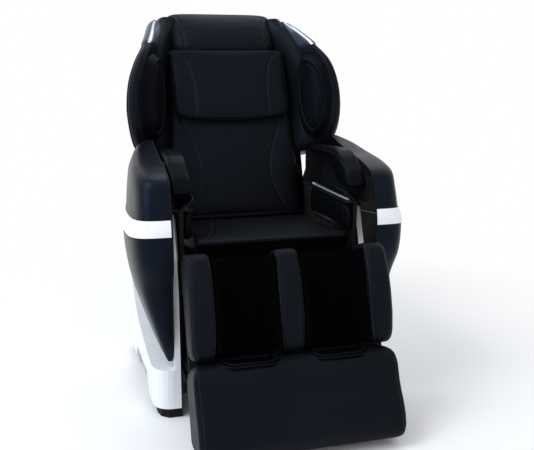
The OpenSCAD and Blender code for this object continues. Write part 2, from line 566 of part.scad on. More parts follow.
// ---------- roller carriage ----------
car_z = 200;
yoke_y = 72;
roller_y = 56;
roller_z = 84;
shaft_r = 6;
module roller_carriage() color(dark_c) at_back() difference() {
    union() {
        box([-130, track_y - 14, car_z - 26], [130, track_y + 20, car_z + 26]);
        for (x = [-74, -22, 22, 74]) box([x - 4, yoke_y - 11, car_z - 12], [x + 4, track_y, car_z + 12]);
        translate([-60, track_y + 40, car_z]) xrod(0, 120, 27);
        box([-50, track_y + 10, car_z - 20], [50, track_y + 36, car_z + 20]);
    }
    for (s = [-1, 1]) translate([s * track_x, track_y, car_z - 40])
        cylinder(h = 80, r = track_r + slide_fit, $fn = 48);
    translate([0, yoke_y, car_z]) xrod(-90, 90, shaft_r);
}
// One kneading yoke: a cranked plate on the carriage's shaft, with a stub for each roller
module yoke() color(silver_c) at_back() {
    x0 = 42;
    difference() {
        across(x0, x0 + 8, [[yoke_y + 11, car_z - 14], [yoke_y + 11, car_z + 14],
            [roller_y + 10, car_z + roller_z + 10], [roller_y - 8, car_z + roller_z + 10],
            [roller_y - 12, car_z + roller_z - 6], [yoke_y - 13, car_z],
            [roller_y - 12, car_z - roller_z + 6], [roller_y - 8, car_z - roller_z - 10],
            [roller_y + 10, car_z - roller_z - 10]]);
        translate([0, yoke_y, car_z]) xrod(x0 - 1, x0 + 9, shaft_r - 1);
    }
    translate([0, yoke_y, car_z]) xrod(19, 77, shaft_r - run_fit);
    for (s = [-1, 1]) translate([0, roller_y, car_z + s * roller_z])
        xrod(x0 + 7, x0 + 12 + roller_w, shaft_r);
}
module left_yoke() side(-1) yoke();
module right_yoke() side(1) yoke();
// Rubber tyre of a massage roller, rounded at its edges
module roller(s) color(dark_c) at_back() translate([51, roller_y, car_z + s * roller_z])
    rotate([0, 90, 0]) rotate_extrude($fn = 48) polygon(concat(
        [[shaft_r + run_fit, roller_w], [shaft_r + run_fit, 0]],
        [for (a = [-90:30:0]) [roller_r - 6 + 6 * cos(a), 6 + 6 * sin(a)]],
        [for (a = [0:30:90]) [roller_r - 6 + 6 * cos(a), roller_w - 6 + 6 * sin(a)]]));
module left_upper_roller() side(-1) roller(1);
module left_lower_roller() side(-1) roller(-1);
module right_upper_roller() side(1) roller(1);
module right_lower_roller() side(1) roller(-1);

// ---------- leg rest (in the frame of the leg) ----------
leg_back = -12;
leg_lever = [15, -110];
foot_top = -calf_len - 26;
rod_x = 150;
module leg_frame() color(dark_c) at_leg() difference() {
    union() {
        box([-leg_half + 6, leg_back - 10, -calf_len - 22], [leg_half - 6, leg_back, -18]);
        for (s = [-1, 1]) side(s) {
            lug(ear_x, ear_x + 10, [0, 0], 14, [[leg_back - 10, -40], [leg_back + 6, -40]]);
            box([rod_x - 16, leg_back, -calf_len - 22], [rod_x + 16, leg_back + 28, -40]);
        }
        for (s = [-1, 1]) rotate([leg_tilt, 0, 0])
            lug(actuator_x[0] + (s > 0 ? ear_in : -ear_in - 6),
                actuator_x[0] + (s > 0 ? ear_in + 6 : -ear_in), leg_lever, 11,
                [leg_lever + [-48, 56], leg_lever + [-78, -28]], -90);
    }
    xrod(-lug_x, lug_x, pin_r + run_fit);
    for (s = [-1, 1]) translate([s * rod_x, leg_back + 14, -calf_len - 24])
        cylinder(h = calf_len - 20, r = 9 + slide_fit, $fn = 48);
}
// Calf pads: height, front and half width shares
module calf_pad(x, half, front, lean) color(leather_c) at_leg() {
    stations = [[0, 0.7, 0.74], [0.04, 0.86, 0.88], [0.12, 0.96, 0.96], [0.3, 1.06, 1], [0.5, 1.1, 1],
        [0.7, 1.08, 1], [0.85, 1.02, 0.98], [0.93, 0.95, 0.95], [0.98, 0.84, 0.86], [1, 0.64, 0.7]];
    base = leg_back - 10 - rest_gap;
    low = -calf_len + 4;
    loft([for (s = stations) let (d = (front - leg_back) * s[1] - 10)
        ring([x + lean * (1 - s[0]), base - d / 2, low + (calf_top - low) * s[0]],
            half * s[2], d / 2, 4, 28)]);
}
centre_half = 41;
calf_top = 18;
outer_mid = (leg_half + centre_half + channel_w) / 2 + 3;
outer_half = (leg_half - centre_half - channel_w) / 2 - 3;
module left_calf_pad() side(-1) calf_pad(outer_mid, outer_half, 108, 0);
module centre_calf_pad() calf_pad(0, centre_half, 82, 0);
module right_calf_pad() side(1) calf_pad(outer_mid, outer_half, 108, 0);
// Foot section: side outline (y, z in the leg frame), with two wells and two slide rods
foot_rise = 24;
foot_outline = [[-24, foot_top], [-24, foot_top + foot_rise], [-96, foot_top + foot_rise - 3],
    [-112, foot_top + 8], [-121, foot_top - 6], [-127, foot_top - 22],
    [-131, foot_top - 78], [-142, foot_top - 130], [-147, foot_top - 166], [-145, foot_top - 196],
    [-136, foot_top - 222], [-120, foot_top - 238], [-98, foot_top - 244], [-84, foot_top - 244],
    [12, foot_top - 212], [16, foot_top - 40], [-2, foot_top]];
// Front view of the foot section, its upper corners rounded
corner_r = 46;
foot_face = concat([[-leg_half, foot_top - 260], [leg_half, foot_top - 260]],
    [for (a = [0:15:180]) let (s = a > 90 ? -1 : 1) [s * (leg_half - 1 - corner_r)
        + corner_r * cos(a), foot_top + foot_rise - corner_r + corner_r * sin(a)]]);
well_front = -104;
well_rear = -26;
well_bottom = foot_top - 176;
sole_y = -66;
module foot_housing() color(leather_c) at_leg() {
    difference() {
        intersection() {
            across(-leg_half + 1, leg_half - 1, foot_outline);
            translate([0, 60, 0]) rotate([90, 0, 0]) linear_extrude(260) polygon(foot_face);
        }
        for (s = [-1, 1]) side(s)
            box([centre_half + 10, well_front, well_bottom],
                [centre_half + channel_w - 6, well_rear, foot_top + foot_rise + 5]);
        translate([0, sole_y, well_bottom])
            xrod(-centre_half - channel_w + 4, centre_half + channel_w - 4, 26);
    }
    for (s = [-1, 1]) translate([s * rod_x, leg_back + 14, foot_top - 20])
        cylinder(h = calf_len - 60, r = 9, $fn = 48);
}
module sole_rollers() color(dark_c) at_leg() translate([0, sole_y, well_bottom]) {
    xrod(-centre_half - channel_w + 4.4, centre_half + channel_w - 4.4, 7);
    for (s = [-1, 1], k = [0:3]) side(s)
        xrod(centre_half + 26 + k * 34, centre_half + 44 + k * 34, 22 - 3 * (k % 2));
}

// ---------- actuators ----------
function from_hip(p) = [hip[0] + p[0], hip[1] + p[1]];
back_eye = from_hip(back_lever);
leg_eye = knee + leg_lever;
module along(a, b) translate([0, a[0], a[1]]) rotate([atan2(b[1] - a[1], b[0] - a[0]), 0, 0]) children();
// Barrel with an eye at its foot and the motor beside it
module barrel(x, a, b, len) color(dark_c) along(a, b) translate([x, 0, 0]) difference() {
    union() {
        rotate([-90, 0, 0]) translate([0, 0, 16]) cylinder(h = len - 16, r = barrel_r, $fn = 48);
        xrod(-ear_in + slide_fit, ear_in - slide_fit, 11);
        box([-ear_in + slide_fit, 0, -11], [ear_in - slide_fit, 18, 11]);
    }
    xrod(-ear_in, ear_in, shaft_r + run_fit);
    rotate([-90, 0, 0]) translate([0, 0, 24]) cylinder(h = len, r = 10 + slide_fit, $fn = 48);
}
module rod(x, a, b, back, eye) color(silver_c) along(a, b) translate([x, 0, 0])
    let (d = norm(b - a)) difference() {
        union() {
            rotate([-90, 0, 0]) translate([0, 0, back]) cylinder(h = d - back - 9, r = 10, $fn = 48);
            translate([0, d, 0]) xrod(-8, 8, 11);
        }
        translate([0, d, 0]) xrod(-9, 9, 6);
    }
module back_actuator() barrel(actuator_x[1], back_anchor, back_eye, 205);
module back_actuator_rod() rod(actuator_x[1], back_anchor, back_eye, 110, 0);
module leg_actuator() barrel(actuator_x[0], leg_anchor, leg_eye, 260);
module leg_actuator_rod() rod(actuator_x[0], leg_anchor, leg_eye, 60, 0);

base_frame();
slide_rails();
left_skirt();
right_skirt();
left_plinth();
right_plinth();
rear_apron();
control_box();
air_pump();
mains_inlet();
power_rocker();
left_wheel();
right_wheel();
seat_frame();
slide_blocks();
seat_board();
seat_cushion();
left_bolster();
right_bolster();
left_arm_frame();
right_arm_frame();
left_arm_pad();
right_arm_pad();
arm_trims();
hip_pins();
knee_pins();
left_shell_upper();
right_shell_upper();
left_shell_stripe();
right_shell_stripe();
left_shell_lower();
right_shell_lower();
back_frame();
back_pad();
head_section();
rear_cover();
left_wing();
right_wing();
left_wing_pad();
right_wing_pad();
speakers();
head_pillow();
roller_carriage();
left_yoke();
right_yoke();
left_upper_roller();
left_lower_roller();
right_upper_roller();
right_lower_roller();
leg_frame();
left_calf_pad();
centre_calf_pad();
right_calf_pad();
foot_housing();
sole_rollers();
back_actuator();
back_actuator_rod();
leg_actuator();
leg_actuator_rod();
base_bolts();
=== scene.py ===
"""Looks of a full-body massage chair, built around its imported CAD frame.

Metres, +Z up, the chair faces -Y. Forms are written in millimetres in the frame of the part
that carries them: ROOM for the base, BACK for the backrest and LEG for the leg rest."""
import json
import math

import bpy
import numpy as np
from mathutils import Matrix, Vector
from mathutils.bvhtree import BVHTree
from mathutils.kdtree import KDTree


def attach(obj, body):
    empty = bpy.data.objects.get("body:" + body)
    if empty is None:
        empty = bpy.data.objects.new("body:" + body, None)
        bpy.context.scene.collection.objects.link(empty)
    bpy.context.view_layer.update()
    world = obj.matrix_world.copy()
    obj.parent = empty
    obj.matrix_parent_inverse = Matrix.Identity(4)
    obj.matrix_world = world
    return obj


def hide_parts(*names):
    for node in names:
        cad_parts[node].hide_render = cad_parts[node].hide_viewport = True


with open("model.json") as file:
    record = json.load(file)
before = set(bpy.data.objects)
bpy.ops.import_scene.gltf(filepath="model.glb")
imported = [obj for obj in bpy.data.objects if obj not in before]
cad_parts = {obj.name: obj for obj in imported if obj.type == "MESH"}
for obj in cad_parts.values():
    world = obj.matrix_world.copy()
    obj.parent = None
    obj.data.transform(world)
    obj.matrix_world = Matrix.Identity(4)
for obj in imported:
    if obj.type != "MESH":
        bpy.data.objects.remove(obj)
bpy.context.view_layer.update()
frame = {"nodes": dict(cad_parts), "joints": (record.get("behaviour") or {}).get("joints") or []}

# ---------- local frames ----------
MM = 0.001
SIDES = {"left": -1, "right": 1}


def joint_place(name):
    """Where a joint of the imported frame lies, in metres."""
    return Vector(next(j for j in frame["joints"] if j["name"] == name)["pos_m"])


def leaning(origin, degrees):
    """Frame in millimetres at origin, its top leaning back by that many degrees."""
    return Matrix.Translation(origin) @ Matrix.Rotation(-math.radians(degrees), 4, "X") @ ROOM


ROOM = Matrix.Scale(MM, 4)
BACK_TILT, LEG_TILT, SEAT_SLOPE = 19.5, 19.0, 3.5
BACK = leaning(joint_place("back_recline"), BACK_TILT)
LEG = leaning(joint_place("legrest_lift"), LEG_TILT)
SEAT_W, SEAT_DEPTH, SEAT_T = 468, 448, 76
SEAT_FRONT, SEAT_H = -298, 568
SEAT_MID = SEAT_FRONT + SEAT_DEPTH / 2
SEAT_DROP = SEAT_DEPTH / 2 * math.sin(math.radians(SEAT_SLOPE))
SEAT = leaning(Vector((0, SEAT_MID, SEAT_H - SEAT_T - SEAT_DROP)) * MM, SEAT_SLOPE)
JAW_Z = SEAT_H + 88     # height of the hand slots
PAD_TOP = 642           # top of the back pad, along the backrest
X_ARM = 270             # inner face of the arm carriers


# ---------- curves ----------
def curve(points, count, closed=False):
    """Smooth curve of count points through the given ones (Catmull-Rom)."""
    p = np.array(points, float)
    n = len(p)
    spans = n if closed else n - 1
    u = np.linspace(0, spans, count, endpoint=not closed)
    i = np.minimum(u.astype(int), spans - 1)
    pick = (lambda k: p[k % n]) if closed else (lambda k: p[np.clip(k, 0, n - 1)])
    return through(pick(i - 1), pick(i), pick(i + 1), pick(i + 2), (u - i)[:, None])


def spline_at(points, at):
    """Point at a place such as 2.5, half way from the third to the fourth, on an open curve."""
    p = np.array(points, float)
    i = min(int(at), len(p) - 2)
    return through(*(p[np.clip(k, 0, len(p) - 1)] for k in (i - 1, i, i + 1, i + 2)), at - i)


def through(a, b, c, d, t):
    """Catmull-Rom point at t between b and c."""
    return 0.5 * (2 * b + (c - a) * t + (2 * a - 5 * b + 4 * c - d) * t ** 2
                  + (3 * b - a - 3 * c + d) * t ** 3)


def even(points, step, closed=False):
    """The same line with its points an even step apart."""
    p = np.array(points, float)
    if closed:
        p = np.vstack([p, p[:1]])
    run = np.concatenate([[0], np.cumsum(np.linalg.norm(np.diff(p, axis=0), axis=1))])
    count = max(int(round(run[-1] / step)), 2)
    at = np.linspace(0, run[-1], count + 1)
    if closed:
        at = at[:-1]
    return np.stack([np.interp(at, run, p[:, k]) for k in range(p.shape[1])], -1)


def rounded(corners, radii, steps=7):
    """Closed 2-D outline with each corner rounded to about its radius."""
    out = []
    n = len(corners)
    points = np.array(corners, float)
    for i, (c, r) in enumerate(zip(points, np.broadcast_to(radii, n))):
        ends = []
        for way in (points[i - 1] - c, points[(i + 1) % n] - c):
            ends.append(c + unit(way) * min(r, np.linalg.norm(way) * 0.48))
        for k in range(steps + 1):
            t = k / steps
            out.append((1 - t) ** 2 * ends[0] + 2 * t * (1 - t) * c + t * t * ends[1])
    return np.array(out)


def mirrored(line):
    """A line and its mirror image on the chair's other side."""
    return [line, line * np.array([-1, 1, 1])]


def distance(line, *axes):
    """Distance from points, given axis by axis, to the nearest point of a line."""
    return np.min([np.sqrt(sum((a - q) ** 2 for a, q in zip(axes, p))) for p in line], axis=0)


def unit(v):
    """Vectors of length 1 in the directions of the given ones."""
    return v / np.linalg.norm(v, axis=-1, keepdims=True)


def turns(count):
    """Angles that many even steps round a full turn."""
    return np.linspace(0, 2 * math.pi, count, endpoint=False)


def smooth_step(x, low, high):
    """0 below low, 1 above high, smooth between them."""
    t = np.clip((x - low) / (high - low), 0, 1)
    return t * t * (3 - 2 * t)


# ---------- meshes ----------
SHARP = 38              # degrees between faces from which an edge is shaded sharp


class Shape:
    """Vertices and faces of one piece, in the millimetres of a local frame."""

    def __init__(self):
        self.verts, self.faces = [], []

    def grid(self, rows, closed=False, caps=False, flip=False, loop=False):
        """Surface through rows of points. closed joins the ends of each row, loop joins the last
        row to the first, and caps closes both."""
        base, n, m = len(self.verts), len(rows[0]), len(rows)
        self.verts += [tuple(p) for row in rows for p in row]
        made = []
        for i in range(m if loop else m - 1):
            after = (i + 1) % m * n
            for j in range(n if closed else n - 1):
                k = (j + 1) % n
                made.append((i * n + j, i * n + k, after + k, after + j))
        if caps:
            made += [tuple(range(n - 1, -1, -1)), tuple((m - 1) * n + j for j in range(n))]
        self.faces += [tuple(base + v for v in (reversed(f) if flip else f)) for f in made]
        return self

    def sweep(self, path, section, ups, closed=False):
        """Tube along path: section is (across, up) offsets, ups the up direction of each point."""
        p = np.array(path, float)
        along = unit(np.roll(p, -1, 0) - np.roll(p, 1, 0) if closed else np.gradient(p, axis=0))
        up = np.broadcast_to(np.array(ups, float), p.shape)
        up = unit(up - (up * along).sum(1)[:, None] * along)
        across = np.cross(along, up)
        rows = [[p[i] + across[i] * s + up[i] * t for s, t in section] for i in range(len(p))]
        return self.grid(rows, closed=True, caps=not closed, loop=closed)

    def piece(self, name, space=ROOM, side=1, sharp=SHARP):
        """Object of this shape from a local frame; side -1 mirrors it."""
        mesh = bpy.data.meshes.new(name)
        flip = Matrix.Diagonal((side, 1, 1, 1))
        verts = [space @ (flip @ Vector(v)) for v in self.verts]
        faces = self.faces if side > 0 else [tuple(reversed(f)) for f in self.faces]
        mesh.from_pydata(verts, [], faces)
        mesh.validate()
        return link(name, mesh, sharp)


def link(name, mesh, sharp=SHARP):
    """New object with a mesh, in the scene."""
    obj = bpy.data.objects.new(name, mesh)
    bpy.context.scene.collection.objects.link(obj)
    shade(mesh, sharp)
    return obj


def shade(mesh, sharp):
    """Smooth shading, except across edges sharper than that many degrees."""
    mesh.polygons.foreach_set("use_smooth", [True] * len(mesh.polygons))
    mesh.set_sharp_from_angle(angle=math.radians(sharp))
    mesh.update()


def solid(rows, name, space=ROOM, side=1, flip=False, sharp=SHARP):
    """Object with a closed surface through closed rows of points."""
    shape = Shape().grid(rows, closed=True, caps=True, flip=flip)
    return shape.piece(name, space, side, sharp)


def round_section(radius, sides=10, flat=1.0):
    """Section of a tube: across radius, and up radius times flat."""
    return [(radius * math.cos(a), radius * flat * math.sin(a)) for a in turns(sides)]


def vectors(items, key):
    """Rows of x, y and z from one property of a mesh's items."""
    out = np.empty(len(items) * 3, np.float32)
    items.foreach_get(key, out)
    return out.reshape(-1, 3).astype(float)


def coordinates(mesh):
    """Positions of a mesh's vertices."""
    return vectors(mesh.vertices, "co")


def set_coordinates(mesh, co):
    """Moves a mesh's vertices."""
    mesh.vertices.foreach_set("co", np.asarray(co, np.float32).ravel())
    mesh.update()


def bake(obj):
    """Replaces the object's mesh by what its modifiers make of it."""
    deps = bpy.context.evaluated_depsgraph_get()
    made = bpy.data.meshes.new_from_object(obj.evaluated_get(deps), depsgraph=deps)
    obj.modifiers.clear()
    obj.data = made


def thicken(obj, thickness, offset):
    """Turns a sheet into a wall of that many millimetres."""
    wall = obj.modifiers.new("wall", "SOLIDIFY")
    wall.thickness, wall.offset = thickness * MM, offset
    bake(obj)


def copy_of(node, name):
    """New object with the shape of a CAD node."""
    mesh = frame["nodes"][node].data.copy()
    mesh.materials.clear()
    return link(name, mesh)


# ---------- upholstery ----------
CLOTH_FRAMES, CLOTH_PRESSURE = 20, 4.0
STITCH_STEP, STITCH, STITCH_R = 5.2, 3.6, 0.5
RAY_START = 0.4         # metres before a point, from where its place on the surface is looked for
PIPING_SINK = 0.4       # share of its radius that a piping lies in the cover


def upholster(obj, space, held, voxel=5.5, cap=8, soften=8):
    """Remeshes a closed form evenly, puffs it as cloth under pressure while the points named by
    held (a function of local coordinates) stay, and subdivides it. No point moves past cap."""
    even_out = obj.modifiers.new("even_out", "REMESH")
    even_out.mode, even_out.voxel_size = "VOXEL", voxel * MM
    ease = obj.modifiers.new("ease", "SMOOTH")
    ease.factor, ease.iterations = 0.5, soften
    bake(obj)
    puff(obj, space, held, cap)
    finer = obj.modifiers.new("finer", "SUBSURF")
    finer.levels = finer.render_levels = 1
    bake(obj)
    shade(obj.data, 60)


def puff(obj, space, held, cap):
    """Swells a mesh as cloth under pressure and applies the result."""
    rest = coordinates(obj.data)
    back = np.array(space.inverted())
    here = rest @ back[:3, :3].T + back[:3, 3]
    group = obj.vertex_groups.new(name="held")
    group.add([int(i) for i in np.nonzero(held(*here.T))[0]], 1.0, "REPLACE")
    cloth = obj.modifiers.new("cloth", "CLOTH")
    how = cloth.settings
    how.quality, how.mass = 4, 0.25
    how.tension_stiffness = how.compression_stiffness = 18
    how.bending_stiffness = 1.5
    how.use_pressure, how.uniform_pressure_force = True, CLOTH_PRESSURE
    how.effector_weights.gravity = 0
    how.vertex_group_mass = "held"
    cloth.point_cache.frame_start, cloth.point_cache.frame_end = 1, CLOTH_FRAMES
    for number in range(1, CLOTH_FRAMES + 1):
        bpy.context.scene.frame_set(number)
    deps = bpy.context.evaluated_depsgraph_get()
    swollen = coordinates(obj.evaluated_get(deps).data)
    obj.modifiers.clear()
    obj.vertex_groups.clear()
    move = swollen - rest
    length = np.linalg.norm(move, axis=1)[:, None]
    set_coordinates(obj.data, rest + move * np.minimum(1, cap * MM / np.maximum(length, 1e-9)))
    bpy.context.scene.frame_set(1)


def on_surface(obj, points, way, space):
    """Where the local points land on obj when they travel along the local direction way."""
    tree = BVHTree.FromPolygons([v.co for v in obj.data.vertices],
                                [p.vertices[:] for p in obj.data.polygons])
    step = (space.to_3x3() @ Vector(way)).normalized()
    hits, facing = [], []
    for p in points:
        start = space @ Vector(p) - step * RAY_START
        hit, normal, _, _ = tree.ray_cast(start, step)
        if hit is not None:
            hits.append(hit)
            facing.append(normal)
    return np.array(hits), np.array(facing)


def groove(obj, line, width, depth):
    """Draws the surface in along a line of world points, as a seam does."""
    co = coordinates(obj.data)
    tree = KDTree(len(line))
    for i, p in enumerate(line):
        tree.insert(p, i)
    tree.balance()
    near = np.array([tree.find(p)[2] for p in co]) / MM
    sink = depth * np.exp(-(near / width) ** 2)
    out = vectors(obj.data.vertex_normals, "vector")
    set_coordinates(obj.data, co - out * sink[:, None] * MM)


def pressed(obj, points, way, space, width, depth):
    """Presses a groove into obj below local points. Returns the line in it and its normals."""
    groove(obj, on_surface(obj, points, way, space)[0], width, depth)
    return on_surface(obj, points, way, space)


def thread(shape, line, facing):
    """Adds a row of stitches along a line of world points."""
    path = even(line / MM, STITCH_STEP)
    up = np.array([facing[np.argmin(np.linalg.norm(line / MM - p, axis=1))] for p in path])
    for k in range(len(path) - 1):
        way = unit(path[k + 1] - path[k])
        side = unit(np.cross(way, up[k]))
        rows = []
        for share, size in ((-0.5, 0.35), (-0.25, 1), (0.25, 1), (0.5, 0.35)):
            middle = path[k] + way * share * STITCH + up[k] * (0.25 - abs(share) * 1.4)
            rows.append([middle + STITCH_R * size * (side * math.cos(a) + up[k] * math.sin(a))
                         for a in turns(6)])
        shape.grid(rows, closed=True, caps=True)


def seams(obj, space, lines, way, body, depth=2.5, width=4.0):
    """Sews seams into obj along local lines seen along way: a groove with its thread on it."""
    stitches = Shape()
    for points in lines:
        thread(stitches, *pressed(obj, even(points, 4), way, space, width, depth))
    place(stitches.piece(obj.name + "_stitches"), body, THREAD)


def piping(name, obj, space, points, way, body, radius, groove_depth=1.6):
    """A covered cord laid on obj round a loop of local points seen along way."""
    line, facing = pressed(obj, even(points, 5, closed=True), way, space, radius * 2.2,
                           groove_depth)
    line = line / MM + facing * (radius * (1 - PIPING_SINK))
    cord = Shape().sweep(line, round_section(radius), facing, closed=True)
    place(cord.piece(name), body, PIPING)


# ---------- materials ----------
def node_material(name, colour, roughness, **sockets):
    """Principled material; sockets are set on the shader itself. Returns it with its node tools."""
    made = bpy.data.materials.new(name)
    made.use_nodes = True
    tree = made.node_tree
    shader = tree.nodes["Principled BSDF"]
    shader.inputs["Base Color"].default_value = (*colour, 1)
    shader.inputs["Roughness"].default_value = roughness
    for key, value in sockets.items():
        shader.inputs[key.replace("_", " ")].default_value = value
    return made, tree, shader


def add(tree, kind, inputs, operation=None, data_type=None):
    """New node; inputs gives each named or numbered input its value, or the output it is from."""
    node = tree.nodes.new(kind)
    if data_type:
        node.data_type = data_type
    if operation:
        node.operation = operation
    for key, value in inputs.items():
        if isinstance(value, bpy.types.NodeSocket):
            tree.links.new(value, node.inputs[key])
        else:
            node.inputs[key].default_value = value
    return node


def where(tree):
    """Place on the object, in its own coordinates."""
    return add(tree, "ShaderNodeTexCoord", {}).outputs["Object"]


def noise(tree, scale, **values):
    """A procedural noise from 0 to 1."""
    node = add(tree, "ShaderNodeTexNoise", {"Vector": where(tree), "Scale": scale, **values})
    return node.outputs["Fac"]


def cells(tree, scale, feature="F1"):
    """A procedural cell pattern's distances."""
    node = add(tree, "ShaderNodeTexVoronoi", {"Vector": where(tree), "Scale": scale})
    node.feature = feature
    return node.outputs["Distance"]


def between(tree, value, low, high):
    """A 0 to 1 value, spread from low to high."""
    node = add(tree, "ShaderNodeMapRange", {"Value": value, "To Min": low, "To Max": high})
    return node.outputs["Result"]


def tint(tree, value, dark, light):
    """A colour that runs from dark to light with a 0 to 1 value."""
    node = add(tree, "ShaderNodeMix", {"Factor": value, 6: dark, 7: light}, data_type="RGBA")
    return node.outputs[2]


def lit(colour, gain, lift=0.0):
    """A colour made lighter, as a value with its alpha."""
    return (*(min(c * gain + lift, 1) for c in colour), 1)


def surface(tree, shader, colour, roughness, bumps):
    """Links patterns to a shader; bumps are (height, strength, distance in metres), stacked."""
    links = [("Base Color", colour), ("Roughness", roughness)]
    below = {}
    for height, strength, reach in bumps:
        bump = add(tree, "ShaderNodeBump",
                   {"Strength": strength, "Distance": reach, "Height": height, **below})
        below = {"Normal": bump.outputs["Normal"]}
    for key, socket in links + list(below.items()):
        if socket is not None:
            tree.links.new(socket, shader.inputs[key])


def leather(name, colour, roughness=0.44, grain=1.0, level=0.10):
    """Black upholstery leather: pebbled grain, fine creases, uneven sheen, and reflections tinted
    blue as a painted bluish sky reflection.
    """
    made, tree, shader = node_material(name, colour, roughness, Specular_IOR_Level=level,
                                       Specular_Tint=(0.52, 0.68, 1, 1))
    pebble = between(tree, cells(tree, 420, "DISTANCE_TO_EDGE"), 0, 3)
    creases = noise(tree, 46, Detail=5, Roughness=0.62, Distortion=0.5)
    wear = noise(tree, 5.5, Detail=3)
    surface(tree, shader, tint(tree, wear, lit(colour, 0.8), lit(colour, 1.35, 0.0005)),
            between(tree, wear, roughness - 0.08, roughness + 0.1),
            [(pebble, 0.22 * grain, 0.0006), (creases, 0.16 * grain, 0.0022)])
    return made


def gloss(name, colour, roughness, coat=0.35, level=0.4, sky=(1, 1, 1)):
    """Lacquered plastic: a faint orange peel and slightly uneven polish; sky tints its reflections,
    a painted sky reflection.
    """
    made, tree, shader = node_material(name, colour, roughness, Coat_Weight=coat,
                                       Coat_Roughness=0.12, Specular_IOR_Level=level,
                                       Specular_Tint=(*sky, 1))
    polish = noise(tree, 7, Detail=4)
    surface(tree, shader, tint(tree, polish, lit(colour, 1), lit(colour, 1.06, 0.0008)),
            between(tree, polish, roughness * 0.75, roughness * 1.35),
            [(noise(tree, 130, Detail=2), 0.03, 0.0008)])
    return made


def lined(made, x_inner, colour):
    """Blackens a material nearer to the chair's middle than x_inner: a white panel's lining."""
    tree = made.node_tree
    base = tree.nodes["Principled BSDF"].inputs["Base Color"]
    split = add(tree, "ShaderNodeSeparateXYZ", {"Vector": where(tree)})
    away = add(tree, "ShaderNodeMath", {0: split.outputs["X"]}, "ABSOLUTE")
    inside = add(tree, "ShaderNodeMath", {0: away.outputs["Value"], 1: x_inner}, "LESS_THAN")
    tree.links.new(tint(tree, inside.outputs["Value"], base.links[0].from_socket, lit(colour, 1)),
                   base)


def moulded(name, colour, roughness=0.6, grain=0.25, metallic=0.0, scale=900, level=0.35):
    """Textured plastic, rubber or painted steel: a fine sandy grain and uneven tone."""
    made, tree, shader = node_material(name, colour, roughness, Metallic=metallic,
                                       Specular_IOR_Level=level)
    tone = noise(tree, 9, Detail=4)
    surface(tree, shader, tint(tree, tone, lit(colour, 1), lit(colour, 1.35, 0.002)),
            between(tree, tone, roughness - 0.1, roughness + 0.08),
            [(noise(tree, scale, Detail=3), grain, 0.0004)])
    return made


def brushed(name, colour, roughness=0.25):
    """Bright metal with fine lines along Z."""
    made, tree, shader = node_material(name, colour, roughness, Metallic=1.0)
    stretch = add(tree, "ShaderNodeMapping", {"Vector": where(tree), "Scale": (12, 12, 0.04)})
    lines = add(tree, "ShaderNodeTexNoise", {"Vector": stretch.outputs["Vector"], "Scale": 60,
                                             "Detail": 4}).outputs["Fac"]
    surface(tree, shader, None, between(tree, lines, roughness * 0.7, roughness * 1.5),
            [(lines, 0.08, 0.0004)])
    return made


def weave(name, colour):
    """Dense black knit inside the channels and wells."""
    made, tree, shader = node_material(name, colour, 0.85, Specular_IOR_Level=0.012)
    folds = noise(tree, 60, Detail=3)
    surface(tree, shader, tint(tree, folds, lit(colour, 1), lit(colour, 1.5)), None,
            [(cells(tree, 700), 0.5, 0.0005), (folds, 0.2, 0.002)])
    return made


WHITE_LACQUER = (0.83, 0.84, 0.86), 0.24
SKIRT_FACE = 0.2925     # metres from the middle, in which a skirt is lined with black
# The blue cast in the black leathers' colours is painted bluish sky light
LEATHER = leather("leather_black", (0.0036, 0.0039, 0.0052), level=0.085)
LEATHER_SOFT = leather("leather_smooth", (0.0022, 0.0024, 0.0032), 0.40, 0.7, 0.06)
PIPING = leather("leather_piping", (0.0034, 0.0036, 0.0046), 0.40, 0.4, 0.09)
WING_SHELL = leather("leather_wing", (0.0036, 0.0040, 0.0052), 0.36, 0.35, 0.11)
THREAD = moulded("thread_grey", (0.045, 0.048, 0.056), 0.7, 0.3)
# Navy base and blue sky tint: painted bluish sky reflection on the black lacquer
GLOSS_BLACK = gloss("lacquer_black", (0.0020, 0.0026, 0.0044), 0.33, 0.0, 0.15, (0.42, 0.62, 1))
GLOSS_WHITE = gloss("lacquer_white", *WHITE_LACQUER)
MATTE_BLACK = moulded("plastic_black", (0.0055, 0.0055, 0.006), 0.6, level=0.12)
LINER = weave("knit_black", (0.0007, 0.0007, 0.0009))
FRAME_STEEL = moulded("steel_painted", (0.010, 0.010, 0.011), 0.5, 0.15, 0.3, level=0.2)
BRIGHT_STEEL = brushed("steel_bright", (0.62, 0.63, 0.65))
SILVER = brushed("trim_silver", (0.66, 0.69, 0.74), 0.2)
# Blue sky tint on the speaker facets: painted bluish sky reflection
SPEAKER = gloss("speaker_gloss", (0.018, 0.023, 0.042), 0.32, 0.0, 0.2, (0.5, 0.7, 1))
SKIRT = gloss("lacquer_white_lined", *WHITE_LACQUER)
lined(SKIRT, SKIRT_FACE, (0.004, 0.004, 0.005))
RUBBER = moulded("rubber_grey", (0.022, 0.022, 0.023), 0.75, 0.4, scale=500, level=0.15)
STATUS_LIGHT = moulded("plastic_pearl", (0.62, 0.63, 0.65), 0.3, 0.05)


def place(obj, body, material, replaces=()):
    """Gives a piece its material, the body that it rides on and what it stands for."""
    obj.data.materials.clear()
    obj.data.materials.append(material)
    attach(obj, body)
    if replaces:
        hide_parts(*replaces)


